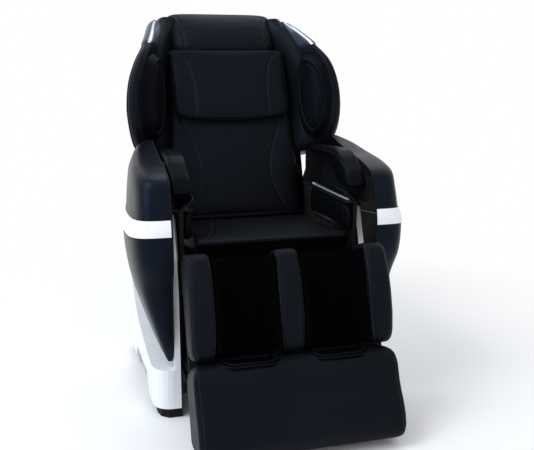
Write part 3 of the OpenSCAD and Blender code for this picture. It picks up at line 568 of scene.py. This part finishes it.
# ---------- seat ----------
def seat_cushion():
    """Seat cushion with piping, two curved seams and a front face in black knit that paints the
    shade under its front edge.
    """
    half_w, half_d = SEAT_W / 2 - 3, SEAT_DEPTH / 2 - 4
    flare, reach = half_w + 12, -half_d + 42
    outline = even(rounded([(half_w, half_d), (-half_w, half_d), (-half_w, reach + 12),
                            (-flare, reach), (-flare, -half_d), (flare, -half_d), (flare, reach),
                            (half_w, reach + 12)], [24, 24, 8, 8, 30, 30, 8, 8]), 9, closed=True)
    top = [(s, SEAT_T - 3 + 11 * (1 - s * s)) for s in (0.975, 0.92, 0.8, 0.6, 0.3, 0.05)]
    levels = [(0.95, 2), (0.98, 10), (0.992, SEAT_T * 0.4), (1, SEAT_T * 0.72), (0.99, SEAT_T - 6)]
    seat = solid([[(x * s, y * s, z) for x, y in outline] for s, z in levels + top],
                 "seat_cushion_cover", SEAT)

    def held(x, y, z):
        edge = np.maximum(np.abs(x) / half_w, np.abs(y) / half_d)
        return (z < SEAT_T * 0.35) | ((edge > 0.96) & (z > SEAT_T - 12))
    upholster(seat, SEAT, held, cap=7)
    rim = [(x * 0.982, y * 0.982, SEAT_T) for x, y in outline]
    piping("seat_cushion_piping", seat, SEAT, rim, (0, 0, -1), "carriage", 1.6)
    # The curved side seams, from the back to the front corners
    left = curve([(x, y, SEAT_T) for x, y in ((-104, SEAT_DEPTH / 2 - 20), (-110, 190),
                  (-131, 74), (-158, -50), (-190, -156), (-224, -212))], 60)
    seams(seat, SEAT, mirrored(left), (0, 0, -1), "carriage", depth=2.2)
    place(seat, "carriage", LEATHER, ["seat_cushion"])
    # Front face below the piping in black knit, darker than the leather: painted shade under the
    # seat's front edge
    seat.data.materials.append(LINER)
    for face in seat.data.polygons:
        middle = SEAT.inverted() @ face.center
        if face.normal.y < -0.5 and middle.z < SEAT_T - 12:
            face.material_index = 1


def seat_fold():
    """Leather roll that closes the gap between the seat's rear edge and the backrest."""
    half, y, z, radius = 205, 165, 542, 10
    path = [(x, y + 10 * (abs(x) / half) ** 6, z) for x in np.linspace(-half, half, 60)]
    roll = Shape().sweep(path, round_section(radius, 16), (0, 0, 1)).piece("seat_rear_fold")
    place(roll, "carriage", LEATHER_SOFT)


def bolster(hand, side):
    """Padded bolster beside the seat."""
    x_in, x_out = SEAT_W / 2 + 3, X_ARM - 1
    length, height = 358, 92
    y0, z0 = SEAT_FRONT + 50 + length / 2, (SEAT_H - 12 + JAW_Z) / 2 - 4
    outline = even(rounded([(length / 2, height / 2), (-length / 2, height / 2),
                            (-length / 2, -height / 2), (length / 2, -height / 2)],
                           [16, 40, 34, 16]), 8, closed=True)
    thick = x_out - x_in - 7
    rows = [[(x_out - h, y0 + p[0] * s, z0 + p[1] * s) for p in outline]
            for s, h in ((0.96, 1), (0.99, 4), (1, thick * 0.4), (0.99, thick * 0.7),
                         (0.965, thick * 0.9), (0.91, thick), (0.7, thick + 3), (0.4, thick + 4.5),
                         (0.1, thick + 5))]
    pad = solid(rows, f"{hand}_bolster_cover", ROOM, side, flip=True)
    upholster(pad, ROOM, lambda x, y, z: np.abs(x) > x_out - thick * 0.4, voxel=5, cap=5)
    edge = [(side * x_in, y0 + p[0] * 0.9, z0 + p[1] * 0.86) for p in outline]
    piping(f"{hand}_bolster_piping", pad, ROOM, edge, (side, 0, 0), "carriage", 1.4)
    place(pad, "carriage", LEATHER_SOFT, [f"{hand}_bolster"])


def arm_pad(hand, side):
    """Upper arm pad, swollen from its CAD form, with a seam round its inner side."""
    pad = copy_of(f"{hand}_arm_pad", f"{hand}_arm_pad_cover")
    x_in, x_out = X_ARM - 27, X_ARM + 36.7
    upholster(pad, ROOM, lambda x, y, z: (np.abs(x) > x_out - 16)
              | ((np.abs(x) > x_in + 10) & (z < JAW_Z + 121)), voxel=5, cap=6, soften=34)
    edge = curve([(side * x_in, SEAT_FRONT + y, JAW_Z + z) for y, z in
                  ((76, 56), (60, 88), (106, 118), (160, 136), (240, 138), (400, 131))], 60)
    seams(pad, ROOM, [edge], (side, 0, 0), "carriage", depth=1.6, width=3)
    place(pad, "carriage", LEATHER_SOFT, [f"{hand}_arm_pad"])


def arm_rail(hand, side):
    """Glossy sloping rail over the bolster: the hand slot's floor."""
    section = rounded([(237, 692), (300, 646), (296, 634), (234, 678)], [7, 5, 3, 4], 5)
    middle = section.mean(0)
    rows = [[(x, y, z) for x, z in middle + (section - middle) * share] for y, share in
            ((-250, 0.55), (-246, 0.86), (-238, 1), (-120, 1), (40, 1), (72, 1))]
    rail = solid(rows, f"{hand}_arm_rail", ROOM, side)
    place(rail, "carriage", GLOSS_BLACK)


# ---------- side shells ----------
LEAF_FRONT = [(-239, 181), (-271, 246), (-287, 331), (-290, 423), (-322, 505), (-326, 592),
              (-318, 640), (-300, 700), (-272, 748), (-190, 773), (-80, 791), (20, 812), (84, 829)]
LEAF_REAR = [(-220, 176), (-60, 212), (130, 268), (300, 350), (405, 440), (442, 530), (434, 585),
             (402, 640), (342, 696), (264, 736), (190, 762), (148, 802), (118, 829)]
LEAF_BULGE = [0.1, 0.33, 0.58, 0.82, 0.96, 1, 0.9, 0.86, 0.83, 0.78, 0.68, 0.5, 0.2]
X_SHELL, SHELL_BULGE, WALL, LEAF_COLS = 315, 115, 4, 44
STRIPE = (5 / 12, 6 / 12)


def leaf(v, t, out=0.0, inset=0.0):
    """Point of a side shell: v from its low tip to its apex, t from its front to its rear edge,
    out further outward and inset within its wall."""
    at = np.clip(v, 0, 1) * (len(LEAF_FRONT) - 1)
    f, r, b = (spline_at(k, at) for k in (LEAF_FRONT, LEAF_REAR, [(x,) for x in LEAF_BULGE]))
    e = inset / max(np.linalg.norm(r - f), 4 * inset, 1e-9)
    h = (SHELL_BULGE * b[0] + out) * max(1 - abs(2 * t - 1) ** 2.6, 0) ** 0.55
    return (X_SHELL + max(h - inset, 0), *(f + (r - f) * (e + (1 - 2 * e) * (t * t))))


def shell_sheet(v0, v1, rows, out, name, side, material, node):
    """Closed shell part with a true wall, from rows of leaf points, black on its inner face."""
    cols = LEAF_COLS
    ts = [0.5 - 0.5 * math.cos(math.pi * k / cols) for k in range(cols + 1)]
    loops = [[leaf(v, t, out) for t in ts] + [leaf(v, t, out, WALL) for t in reversed(ts)]
             for v in (v0 + (v1 - v0) * i / rows for i in range(rows + 1))]
    made = Shape().grid(loops, closed=True)
    n = len(loops[0])
    for row, turn in ((0, False), (rows, True)):
        first = row * n
        for k in range(cols):
            quad = (first + k, first + k + 1, first + n - 2 - k, first + n - 1 - k)
            made.faces.append(quad if not turn else tuple(reversed(quad)))
    piece = made.piece(name, ROOM, side, sharp=50)
    place(piece, "carriage", material, [node])
    piece.data.materials.append(MATTE_BLACK)
    for k, face in enumerate(piece.data.polygons):
        face.material_index = int(cols < k % n <= 2 * cols and k < rows * n)


def shell(hand, side):
    """Side shell: black above and below a raised white stripe, with a rolled front rim."""
    for part, v0, v1, rows, out, material, slot in (
            ("upper", STRIPE[1], 1, 48, 0, GLOSS_BLACK, "gloss_black"),
            ("stripe", *STRIPE, 10, 5, GLOSS_WHITE, "gloss_white"),
            ("lower", 0, STRIPE[0], 40, 0, GLOSS_BLACK, "gloss_black")):
        shell_sheet(v0, v1, rows, out, f"{hand}_shell_{part}_skin", side, material,
                    f"{hand}_shell_{part}")
    # Rolled rim along the front edge, from the low tip to the apex
    path = [leaf(v, 0) for v in np.linspace(0.004, 0.996, 110)]
    rim = Shape().sweep(path, round_section(2.6, 8), (-1, 0, 0))
    rim = rim.piece(f"{hand}_shell_rim", ROOM, side)
    place(rim, "carriage", WING_SHELL)


# ---------- backrest ----------
def back_pad():
    """Back pad with an S-shaped seam down each side."""
    pad = copy_of("back_pad", "back_pad_cover")
    s_line = curve([(x, -60, z) for x, z in ((-190, 392), (-178, 374), (-154, 307), (-131, 233),
                    (-129, 160), (-144, 114), (-165, 66), (-186, 38))], 80)
    upholster(pad, BACK, lambda x, y, z: (y > -16)
              | (distance(s_line[:, [0, 2]], -np.abs(x), z) < 5), voxel=6, cap=9)
    seams(pad, BACK, mirrored(s_line), (0, 1, 0), "backrest", depth=2.6, width=4.5)
    place(pad, "backrest", LEATHER, ["back_pad"])


def head_section():
    """Padded top of the backrest, above the back pad."""
    pad = copy_of("head_section", "head_section_cover")
    upholster(pad, BACK, lambda x, y, z: (y > 60) | (z < PAD_TOP + 8), voxel=6, cap=6, soften=10)
    fold = curve([(x, -60, PAD_TOP + z) for x, z in ((-150, 8), (-152, 60), (-158, 120),
                                                     (-172, 158))], 30)
    seams(pad, BACK, mirrored(fold), (0, 1, 0), "backrest", depth=2, width=5)
    place(pad, "backrest", LEATHER, ["head_section"])


def head_pillow():
    """Head pillow with piping round its rim and two curved seams."""
    lower = [(x, 370 + 16 * (abs(x) / 190) ** 2) for x in (-150, -75, 0, 75, 150)]
    flank = [(203, 637), (212, 604), (214, 500), (213, 432), (204, 399), (184, 386)]
    corners = [flank[0], (0, 639)] + [(-x, z) for x, z in flank] + lower + flank[:0:-1]
    outline = even(curve(corners, 200, closed=True), 7, closed=True)
    middle = np.array((0, 502))
    rear = -44.6

    def ring(scale, lift):
        """Ring of the pillow's front, lift of its full thickness off its rear."""
        return [(x, rear - lift * (30 - 12 * smooth_step(z, 430, 620)), z)
                for x, z in middle + (outline - middle) * scale]
    levels = [(0.1, 0.01), (0.955, 0.02), (0.985, 0.12), (1.0, 0.4), (0.992, 0.7), (0.972, 0.9),
              (0.93, 0.98), (0.8, 1.03), (0.6, 1.08), (0.3, 1.12), (0.08, 1.13)]
    pad = solid([ring(*k) for k in levels], "head_pillow_cover", BACK, flip=True)
    left = curve([(x, -90, z) for x, z in ((-180, 622), (-156, 596), (-139, 530), (-134, 467),
                                           (-136, 384))], 50)
    upholster(pad, BACK, lambda x, y, z: (y > rear - 9)
              | (distance(left[:, [0, 2]], -np.abs(x), z) < 5), voxel=5, cap=6, soften=5)
    seams(pad, BACK, mirrored(left), (0, 1, 0), "pillow", depth=2.2)
    rim = [(x, -90, z) for x, z in middle + (outline - middle) * (0.975, 0.97)]
    piping("head_pillow_piping", pad, BACK, rim, (0, 1, 0), "pillow", 1.8, groove_depth=2.0)
    place(pad, "pillow", LEATHER, ["head_pillow"])


# Height, x and y of a wing's front edge, x of its root, x and y of its rear edge
WING = [(262, 330, -60, 250, 296, 60), (284, 358, -100, 246, 312, 100),
        (330, 374, -140, 245, 322, 128), (400, 381, -168, 245, 324, 140),
        (480, 372, -190, 244, 316, 142), (550, 348, -198, 240, 300, 140),
        (612, 318, -168, 228, 280, 132), (680, 292, -104, 218, 262, 120),
        (740, 272, -34, 210, 246, 104), (782, 254, 20, 206, 232, 84)]


def wing_at(share):
    """Section values of a wing at a share of its height."""
    return spline_at(WING, share * (len(WING) - 1))


def wing_face(s):
    """Inner face of a wing's section, from its root to the start of its rounded tip."""
    w = s[1] - s[3]
    return np.array([(s[3] + 0.08 * w, s[2] * 0.3 - 16), (s[3] + 0.38 * w, s[2] * 0.52 - 14),
                     (s[1] - 0.47 * w, s[2] * 0.72 - 8), (s[1] - 0.27 * w, s[2] + 6)])


def wing_tip(s):
    """Rounded tip of a wing's section, on from its inner face."""
    w = s[1] - s[3]
    return np.array([(s[1] - 0.27 * w, s[2] + 6), (s[1] - 0.14 * w, s[2] - 2),
                     (s[1] - 0.03 * w, s[2] + 4), (s[1] + 3, s[2] + 24)])


def wing_section(s):
    """Closed section of a wing: root, inner face, tip, and outer side back to the root."""
    fx, fy, ix, rx, ry = s[1:]
    span = rx - ix
    outer = [(fx + 2, fy + min(54, 0.35 * (ry - fy))),
             ((fx * 2 + rx) / 3 + 6, (fy * 2 + ry) / 3 + 24),
             ((fx + rx * 2) / 3 + 8, (fy + ry * 2) / 3 + 10), (rx + 4, ry - 12), (rx - 6, ry),
             (rx - 0.25 * span, ry - 2), (rx - 0.36 * span, max(ry - 20, 24)),
             (rx - 0.52 * span, 8)]
    return np.vstack([[(ix - 26, 14), (ix - 25, -3)], wing_face(s), wing_tip(s)[1:], outer])


def wing_point(share, t, lift):
    """Point on a wing's inner face, t from root to tip, lifted off it by lift."""
    s = wing_at(share)
    face = wing_face(s)
    p = spline_at(face, t * 3)
    along = face[2] - face[0]
    p = p + unit(np.array((along[1], -along[0]))) * lift
    return (*p, s[0])


def wing_shell(hand, side):
    """Shoulder wing with piping along both edges of its rounded front."""
    rows = [[(*p, s[0]) for p in curve(wing_section(s), 84, closed=True)]
            for s in (wing_at(v) for v in np.linspace(0, 1, 74))]
    wing = solid(rows, f"{hand}_wing_cover", BACK, side, sharp=70)
    place(wing, "backrest", WING_SHELL, [f"{hand}_wing"])
    rims = Shape()
    for k, out in ((0, 0.4), (3, 0.6)):
        path = []
        for v in np.linspace(0.05, 0.985, 90):
            s = wing_at(v)
            edge = wing_tip(s)[k]
            middle = np.array((s[1] - 16, s[2] + 60))
            path.append((*(edge + unit(edge - middle) * out), s[0]))
        rims.sweep(path, round_section(2.2, 8), (0, -1, 0))
    place(rims.piece(f"{hand}_wing_piping", BACK, side), "backrest", PIPING)


PAD_SPAN = (4 / 27, 17 / 27)


def wing_pad(hand, side):
    """Airbag pad: four soft lips stacked like a bellows, and an oval cushion on top."""
    middle, half = sum(PAD_SPAN) / 2, (PAD_SPAN[1] - PAD_SPAN[0]) / 2

    def loop(scale, lift):
        across = [math.copysign(abs(math.cos(a)) ** 0.8, math.cos(a)) for a in turns(90)]
        return [wing_point(middle + half * scale * math.sin(a), 0.5 + 0.47 * scale * c, lift)
                for a, c in zip(turns(90), across)]
    lips = Shape()
    for k in range(4):
        scale, lift = 0.97 - 0.055 * k, 4 + 7.2 * k
        path = np.array(loop(scale, lift))
        up = np.array(loop(scale, lift + 5)) - path
        lips.sweep(path, round_section(7.5, 10, 0.52), up, closed=True)
    place(lips.piece(f"{hand}_wing_bellows", BACK, side), "backrest", LEATHER_SOFT)
    levels = [(0.2, 2), (0.8, 3), (0.83, 14), (0.81, 22), (0.76, 28), (0.68, 32), (0.5, 35.5),
              (0.28, 37.5), (0.08, 38)]
    pad = solid([loop(*k) for k in levels], f"{hand}_wing_pad_cover", BACK, side)
    upholster(pad, BACK, lambda x, y, z: distance(loop(0.83, 24), np.abs(x), y, z) < 8,
              voxel=5, cap=5, soften=4)
    place(pad, "backrest", LEATHER_SOFT, [f"{hand}_wing_pad"])


def speaker_line(s):
    """Across the upper front of a wing, from its inner face round to its outer side."""
    face = wing_face(s)
    return np.vstack([[(face[1] + face[2]) / 2, face[2]], wing_tip(s), [(s[1] + 3, s[2] + 42)]])


def line_at(line, t):
    """Point at t on a smooth plane curve, and its outward normal there."""
    ahead, behind = (spline_at(line, np.clip(t + d, 0, len(line) - 1)) for d in (0.05, -0.05))
    along = unit(ahead - behind)
    return spline_at(line, t), np.array((along[1], -along[0]))


def speaker(hand, side):
    """Speaker strip on a wing's upper front: gloss facets on both sides of a silver ridge."""
    first, last = 18.6 / 27, 25.9 / 27
    for part, ends, material in (("inner", (0.4, 2.05), SPEAKER), ("ridge", (2.11, 3.1), SILVER),
                                 ("outer", (3.16, 5.9), SPEAKER)):
        rows = []
        for v in np.linspace(first, last, 44):
            s = wing_at(v)
            line = speaker_line(s)
            fade = min(1, (v - first) * 60, (last - v) * 60 + 0.2)
            low, high = [], []
            for t in np.linspace(*ends, 11):
                p, way = line_at(line, t)
                edge = min(1, abs(t - ends[0]) * 6, abs(t - ends[1]) * 6)
                low.append((*(p + way * 0.6), s[0]))
                high.append((*(p + way * (1.2 + 5.4 * fade * (0.5 + 0.5 * edge))), s[0]))
            rows.append(low + high[::-1])
        strip = solid(rows, f"{hand}_speaker_{part}", BACK, side, flip=True, sharp=30)
        place(strip, "backrest", material, ["speakers"] if hand == "left" else ())


# ---------- leg rest ----------
LEG_BACK, CALF_LEN, LEG_HALF, CHANNEL_W, CENTRE_HALF = -12, 282, 301, 176, 41
OUTER_MID = (LEG_HALF + CENTRE_HALF + CHANNEL_W) / 2 + 3
OUTER_HALF = (LEG_HALF - CENTRE_HALF - CHANNEL_W) / 2 - 3
CALF_PADS = {"left": (-OUTER_MID, OUTER_HALF, 108), "centre": (0, CENTRE_HALF, 82),
             "right": (OUTER_MID, OUTER_HALF, 108)}


def calf_pad(hand, x, half, front):
    """Calf pad with a seam near each side; x is its middle and half its half width."""
    pad = copy_of(f"{hand}_calf_pad", f"{hand}_calf_pad_cover")
    upholster(pad, LEG, lambda px, y, z: (y > -40)
              | ((np.abs(np.abs(px - x) - half + 10) < 5) & (y < -60)), voxel=5, cap=8, soften=9)
    lines = [curve([(x + way * (half - inset), -front - 30, z) for inset, z in
                    ((20, 12), (12, 4), (9, -40), (8, -140), (10, -232), (18, -268))], 60)
             for way in (-1, 1)]
    seams(pad, LEG, lines, (0, 1, 0), "legrest", depth=1.8, width=3.5)
    place(pad, "legrest", LEATHER, [f"{hand}_calf_pad"])


def channel_liner(hand, side):
    """Lining of one calf channel: a knitted back, and airbag leaves against both walls."""
    x0, x1 = CENTRE_HALF + 1, CENTRE_HALF + CHANNEL_W + 5
    rows = [[(x, LEG_BACK - 11.5 - 10 * (abs(2 * (x - x0) / (x1 - x0) - 1)) ** 3, z)
             for x in np.linspace(x0 + 2, x1 - 2, 20)] for z in np.linspace(6, -CALF_LEN + 2, 24)]
    back = Shape().grid(rows).piece(f"{hand}_channel_back", LEG, side, sharp=60)
    thicken(back, 3, 0)
    place(back, "legrest", LINER)
    bags = Shape()
    leaves = 3
    for wall, inward, depth in ((x0 - 3, 1, 74), (x1 + 1, -1, 88)):
        for k in range(leaves):
            y0 = LEG_BACK - 20 - (k + 0.5) * depth / leaves
            rows = []
            for share in np.linspace(0.02, 0.98, 30):
                full = (1 - abs(2 * share - 1) ** 2.6) ** 0.5
                swell = (26 - 5 * k) * full + 2
                tall = depth / 6 * (0.55 + 0.5 * full)
                z = 8 - share * (CALF_LEN - 4)
                rows.append([(wall + inward * max(swell * math.cos(a), -1),
                              y0 + tall * math.sin(a), z) for a in turns(18)])
            bags.grid(rows, closed=True, caps=True, flip=inward < 0)
    bags = bags.piece(f"{hand}_channel_airbags", LEG, side, sharp=80)
    place(bags, "legrest", LINER)


FOOT_TOP, FOOT_RISE = -CALF_LEN - 26, 24
WELL_X, WELL_Y = (CENTRE_HALF + 10, CENTRE_HALF + CHANNEL_W - 6), (-104, -26)
WELL_LOW = FOOT_TOP - 176


def foot_section():
    """Foot section: a smooth rolled front, with two deep wells cut from its top."""
    outline = [(y, FOOT_TOP + z) for y, z in (
        (-26, FOOT_RISE), (-60, 23), (-92, 20), (-110, 10), (-120, -5), (-127, -24),
        (-131, -78), (-142, -130), (-147, -166), (-145, -196), (-136, -222), (-120, -238),
        (-98, -244), (-84, -244), (-30, -226), (10, -211), (16, -190), (16, -60), (10, -20),
        (-4, -2), (-22, 4))]
    ring = curve(outline, 170, closed=True)
    middle = np.array((-66, FOOT_TOP - 112))
    half, corner, top = LEG_HALF - 1, 44, FOOT_TOP + FOOT_RISE
    rows = []
    for away_x, inset in ((0, 12), (2.5, 5.5), (7, 2), (14, 0.4), (24, 0), (34, 0), (44, 0),
                          (54, 0)):
        lost = corner - math.sqrt(max(corner ** 2 - max(corner - away_x, 0) ** 2, 0))
        row = ring - unit(ring - middle) * inset
        row[:, 1] = np.minimum(row[:, 1], top - lost)
        rows.append((away_x, row))
    sides = [[(-half + x, *p) for p in row] for x, row in rows]
    sides += [[(half - x, *p) for p in row] for x, row in reversed(rows)]
    body = solid(sides, "foot_section_cover", LEG)
    wells = Shape()
    for side in SIDES.values():
        wells.grid([[(side * x, y, z) for x, y in well_plan()]
                    for z in (WELL_LOW, FOOT_TOP + 60)], closed=True, caps=True, flip=side < 0)
    cutter = wells.piece("well_cutter", LEG)
    cut = body.modifiers.new("cut", "BOOLEAN")
    cut.operation, cut.object, cut.solver = "DIFFERENCE", cutter, "EXACT"
    bake(body)
    bpy.data.objects.remove(cutter)
    upholster(body, LEG, lambda x, y, z: (y > WELL_Y[0] - 14) & (y < WELL_Y[1] + 10)
              | (y > -60) | (np.abs(x) > half - 24), voxel=6, cap=5, soften=7)
    # Faint side seams where the front skin meets the end panels
    lines = [[(side * (half - 14), p[0], p[1]) for p in ring[36:92]] for side in SIDES.values()]
    seams(body, LEG, lines, (0, 1, 0), "foot", depth=0.9, width=4)
    place(body, "foot", LEATHER, ["foot_housing"])
    rod_x, rod_r = 150, 9
    for hand, side in SIDES.items():
        well_parts(hand, side)
        plan = [(side * rod_x + x, LEG_BACK + 14 + y) for x, y in round_section(rod_r, 32)]
        rod = solid([[(*p, FOOT_TOP + z) for p in plan] for z in (-20, 200, 202)],
                    f"{hand}_foot_slide_rod", LEG)
        place(rod, "foot", BRIGHT_STEEL)


def well_plan(grow=0.0):
    """Plan (x, y) of a foot well: a round-cornered box whose front side bows forward."""
    bow, (x0, x1), (y0, y1) = 16.0, WELL_X, WELL_Y
    points = rounded([(x1, y1), (x0, y1), (x0, y0), (x1, y0)], 30)
    middle = points.mean(0)
    across = np.clip(1 - (2 * (points[:, 0] - middle[0]) / (x1 - x0)) ** 2, 0, 1)
    points[:, 1] -= bow * across * (points[:, 1] < middle[1])
    return points + unit(points - middle) * grow


def well_parts(hand, side):
    """Liner and the soft stacked rims of one foot well."""
    top = FOOT_TOP + FOOT_RISE
    rows = [[(*p, z) for p in well_plan(-inset)] for z, inset in
            ((top - 3, 2), (top - 12, 7), (top - 26, 3), (top - 40, 8), (top - 54, 4),
             (top - 68, 8), (top - 100, 6), (WELL_LOW + 12, 6))]
    # Five times as many rows, on smooth curves through these
    count = (len(rows) - 1) * 5 + 1
    rows = curve(np.reshape(rows, (len(rows), -1)), count).reshape(count, -1, 3)
    liner = Shape().grid(rows, closed=True, flip=True)
    liner = liner.piece(f"{hand}_well_liner", LEG, side, sharp=70)
    thicken(liner, 2, -1)
    place(liner, "foot", LINER)
    rims = Shape()
    for grow, lift in ((9, -2), (2, 3), (-6, 1)):
        path = [(x, y + 1, top + lift - 4 - 15 * smooth_step(-y, 84, 126))
                for x, y in even(well_plan(grow), 6, closed=True)]
        rims.sweep(path, round_section(4.6, 10, 0.85), (0, 0, 1), closed=True)
    place(rims.piece(f"{hand}_well_rim", LEG, side), "foot", LEATHER_SOFT)


# ---------- materials of the CAD nodes that are kept ----------
NODE_MATERIALS = (
    (SKIRT, ["left_skirt", "right_skirt"]),
    (MATTE_BLACK, ["left_plinth", "right_plinth", "rear_apron", "control_box", "mains_inlet",
                   "power_rocker", "slide_blocks", "seat_board", "left_arm_frame",
                   "right_arm_frame", "roller_carriage", "back_actuator", "leg_actuator",
                   "leg_frame", "back_frame"]),
    (GLOSS_BLACK, ["rear_cover"]),
    (FRAME_STEEL, ["base_frame", "seat_frame", "hip_pins", "knee_pins"]),
    (BRIGHT_STEEL, ["slide_rails", "air_pump", "left_yoke", "right_yoke", "back_actuator_rod",
                    "leg_actuator_rod", "base_bolts"]),
    (STATUS_LIGHT, ["arm_trims"]),
    (RUBBER, ["left_wheel", "right_wheel", "sole_rollers", "left_upper_roller",
              "right_upper_roller", "left_lower_roller", "right_lower_roller"]),
)
SOFT_EDGE = 0.0012      # metres
CREASE = 32             # degrees from which the rear cover's edges stay sharp


def shade_group():
    """Geometry nodes that shade a CAD node smooth, except across its creases."""
    tree = bpy.data.node_groups.new("shade_smooth", "GeometryNodeTree")
    for way in ("INPUT", "OUTPUT"):
        tree.interface.new_socket("Geometry", in_out=way, socket_type="NodeSocketGeometry")
    start = add(tree, "NodeGroupInput", {})
    angle = add(tree, "GeometryNodeInputMeshEdgeAngle", {})
    wide = add(tree, "FunctionNodeCompare", {0: angle.outputs["Unsigned Angle"],
                                             1: math.radians(CREASE)}, "GREATER_THAN", "FLOAT")
    faces = add(tree, "GeometryNodeSetShadeSmooth", {"Geometry": start.outputs[0]})
    edges = add(tree, "GeometryNodeSetShadeSmooth",
                {"Geometry": faces.outputs["Geometry"], "Selection": wide.outputs["Result"],
                 "Shade Smooth": False})
    faces.domain, edges.domain = "FACE", "EDGE"
    add(tree, "NodeGroupOutput", {0: edges.outputs["Geometry"]})
    return tree


def dress_cad():
    """Gives the kept CAD nodes their materials, soft edges and, on the rear cover, smoothness."""
    for material, names in NODE_MATERIALS:
        for name in names:
            obj = frame["nodes"][name]
            obj.data.materials.clear()
            obj.data.materials.append(material)
            edge = obj.modifiers.new("soft_edge", "BEVEL")
            edge.width, edge.segments, edge.limit_method = SOFT_EDGE, 2, "ANGLE"
            edge.angle_limit = math.radians(50)
    smooth = frame["nodes"]["rear_cover"].modifiers.new("smooth", "NODES")
    smooth.node_group = shade_group()


# ---------- camera, floor and light ----------
CAMERA_AT, CAMERA_AIM = (-0.606, -2.385, 1.078), (0.078, 0.082, 0.52)
LENS, SENSOR = 50, 36


def stand(name, data, at, aim):
    """New camera or lamp that looks from one point to another."""
    obj = bpy.data.objects.new(name, data)
    obj.location = at
    obj.rotation_euler = (Vector(aim) - Vector(at)).to_track_quat("-Z", "Y").to_euler()
    bpy.context.scene.collection.objects.link(obj)
    return obj


def camera():
    """The photo's camera."""
    data = bpy.data.cameras.new("camera")
    data.lens, data.sensor_width, data.sensor_fit = LENS, SENSOR, "HORIZONTAL"
    bpy.context.scene.camera = stand("camera", data, CAMERA_AT, CAMERA_AIM)


def area_light(name, at, aim, size, power, colour=(1, 1, 1)):
    """Round soft lamp."""
    data = bpy.data.lights.new(name, "AREA")
    data.shape, data.size, data.energy, data.color = "DISK", size, power, colour
    stand(name, data, at, aim)


def is_seen(tree):
    """1 for rays that see the background: from the camera, in a reflection or through glass."""
    path = add(tree, "ShaderNodeLightPath", {})
    value = path.outputs["Is Camera Ray"]
    for other in ("Is Glossy Ray", "Is Transmission Ray"):
        most = add(tree, "ShaderNodeMath", {0: value, 1: path.outputs[other]}, "MAXIMUM")
        value = most.outputs["Value"]
    return value


def mixed(tree, share, first, second, end):
    """Sends the mix of two shaders to an output node."""
    mix = add(tree, "ShaderNodeMixShader", {"Fac": share, 1: first, 2: second})
    tree.links.new(mix.outputs["Shader"], tree.nodes[end].inputs["Surface"])


def world_light():
    """Plain studio light from all sides, in front of a white background."""
    world = bpy.data.worlds.new("studio")
    bpy.context.scene.world = world
    world.use_nodes = True
    tree = world.node_tree
    sky = tree.nodes["Background"]
    sky.inputs["Color"].default_value = (0.985, 0.99, 1.0, 1)
    sky.inputs["Strength"].default_value = 0.80
    seen = add(tree, "ShaderNodeBackground", {"Color": (1, 1, 1, 1)})
    mixed(tree, is_seen(tree), sky.outputs["Background"], seen.outputs["Background"],
          "World Output")


def floor():
    """Pale plain floor that fades to white away from the chair."""
    reach, fade_from, fade_to = 14, 0.9, 2.0
    mesh = bpy.data.meshes.new("floor")
    corners = [(x * reach, y * reach, 0) for x, y in ((-1, -1), (1, -1), (1, 1), (-1, 1))]
    mesh.from_pydata(corners, [], [(0, 1, 2, 3)])
    obj = link("floor", mesh)
    made, tree, shader = node_material("floor_pale", (0.97, 0.97, 0.97), 0.9,
                                       Specular_IOR_Level=0.1)
    length = add(tree, "ShaderNodeVectorMath", {0: where(tree)}, "LENGTH")
    fade = add(tree, "ShaderNodeMapRange", {"Value": length.outputs["Value"],
                                            "From Min": fade_from, "From Max": fade_to})
    both = add(tree, "ShaderNodeMath", {0: fade.outputs["Result"], 1: is_seen(tree)}, "MULTIPLY")
    white = add(tree, "ShaderNodeEmission", {})
    mixed(tree, both.outputs["Value"], shader.outputs["BSDF"], white.outputs["Emission"],
          "Material Output")
    obj.data.materials.append(made)


# ---------- build ----------
seat_cushion()
seat_fold()
back_pad()
head_section()
head_pillow()
foot_section()
for hand, side in SIDES.items():
    bolster(hand, side)
    arm_pad(hand, side)
    arm_rail(hand, side)
    shell(hand, side)
    wing_shell(hand, side)
    wing_pad(hand, side)
    speaker(hand, side)
    channel_liner(hand, side)
for hand, (x, half, front) in CALF_PADS.items():
    calf_pad(hand, x, half, front)
dress_cad()
camera()
floor()
world_light()
area_light("key", (-1.7, -0.9, 3.3), (0, 0, 0.3), 1.5, 36)
area_light("fill", (-2.7, -1.3, 2.1), (0, 0, 0.6), 2.0, 34, (0.55, 0.75, 1))
area_light("top", (0.6, 1.4, 3.2), (0, 0, 0.5), 1.6, 13, (0.62, 0.78, 1))
bpy.context.scene.view_settings.view_transform = "Standard"
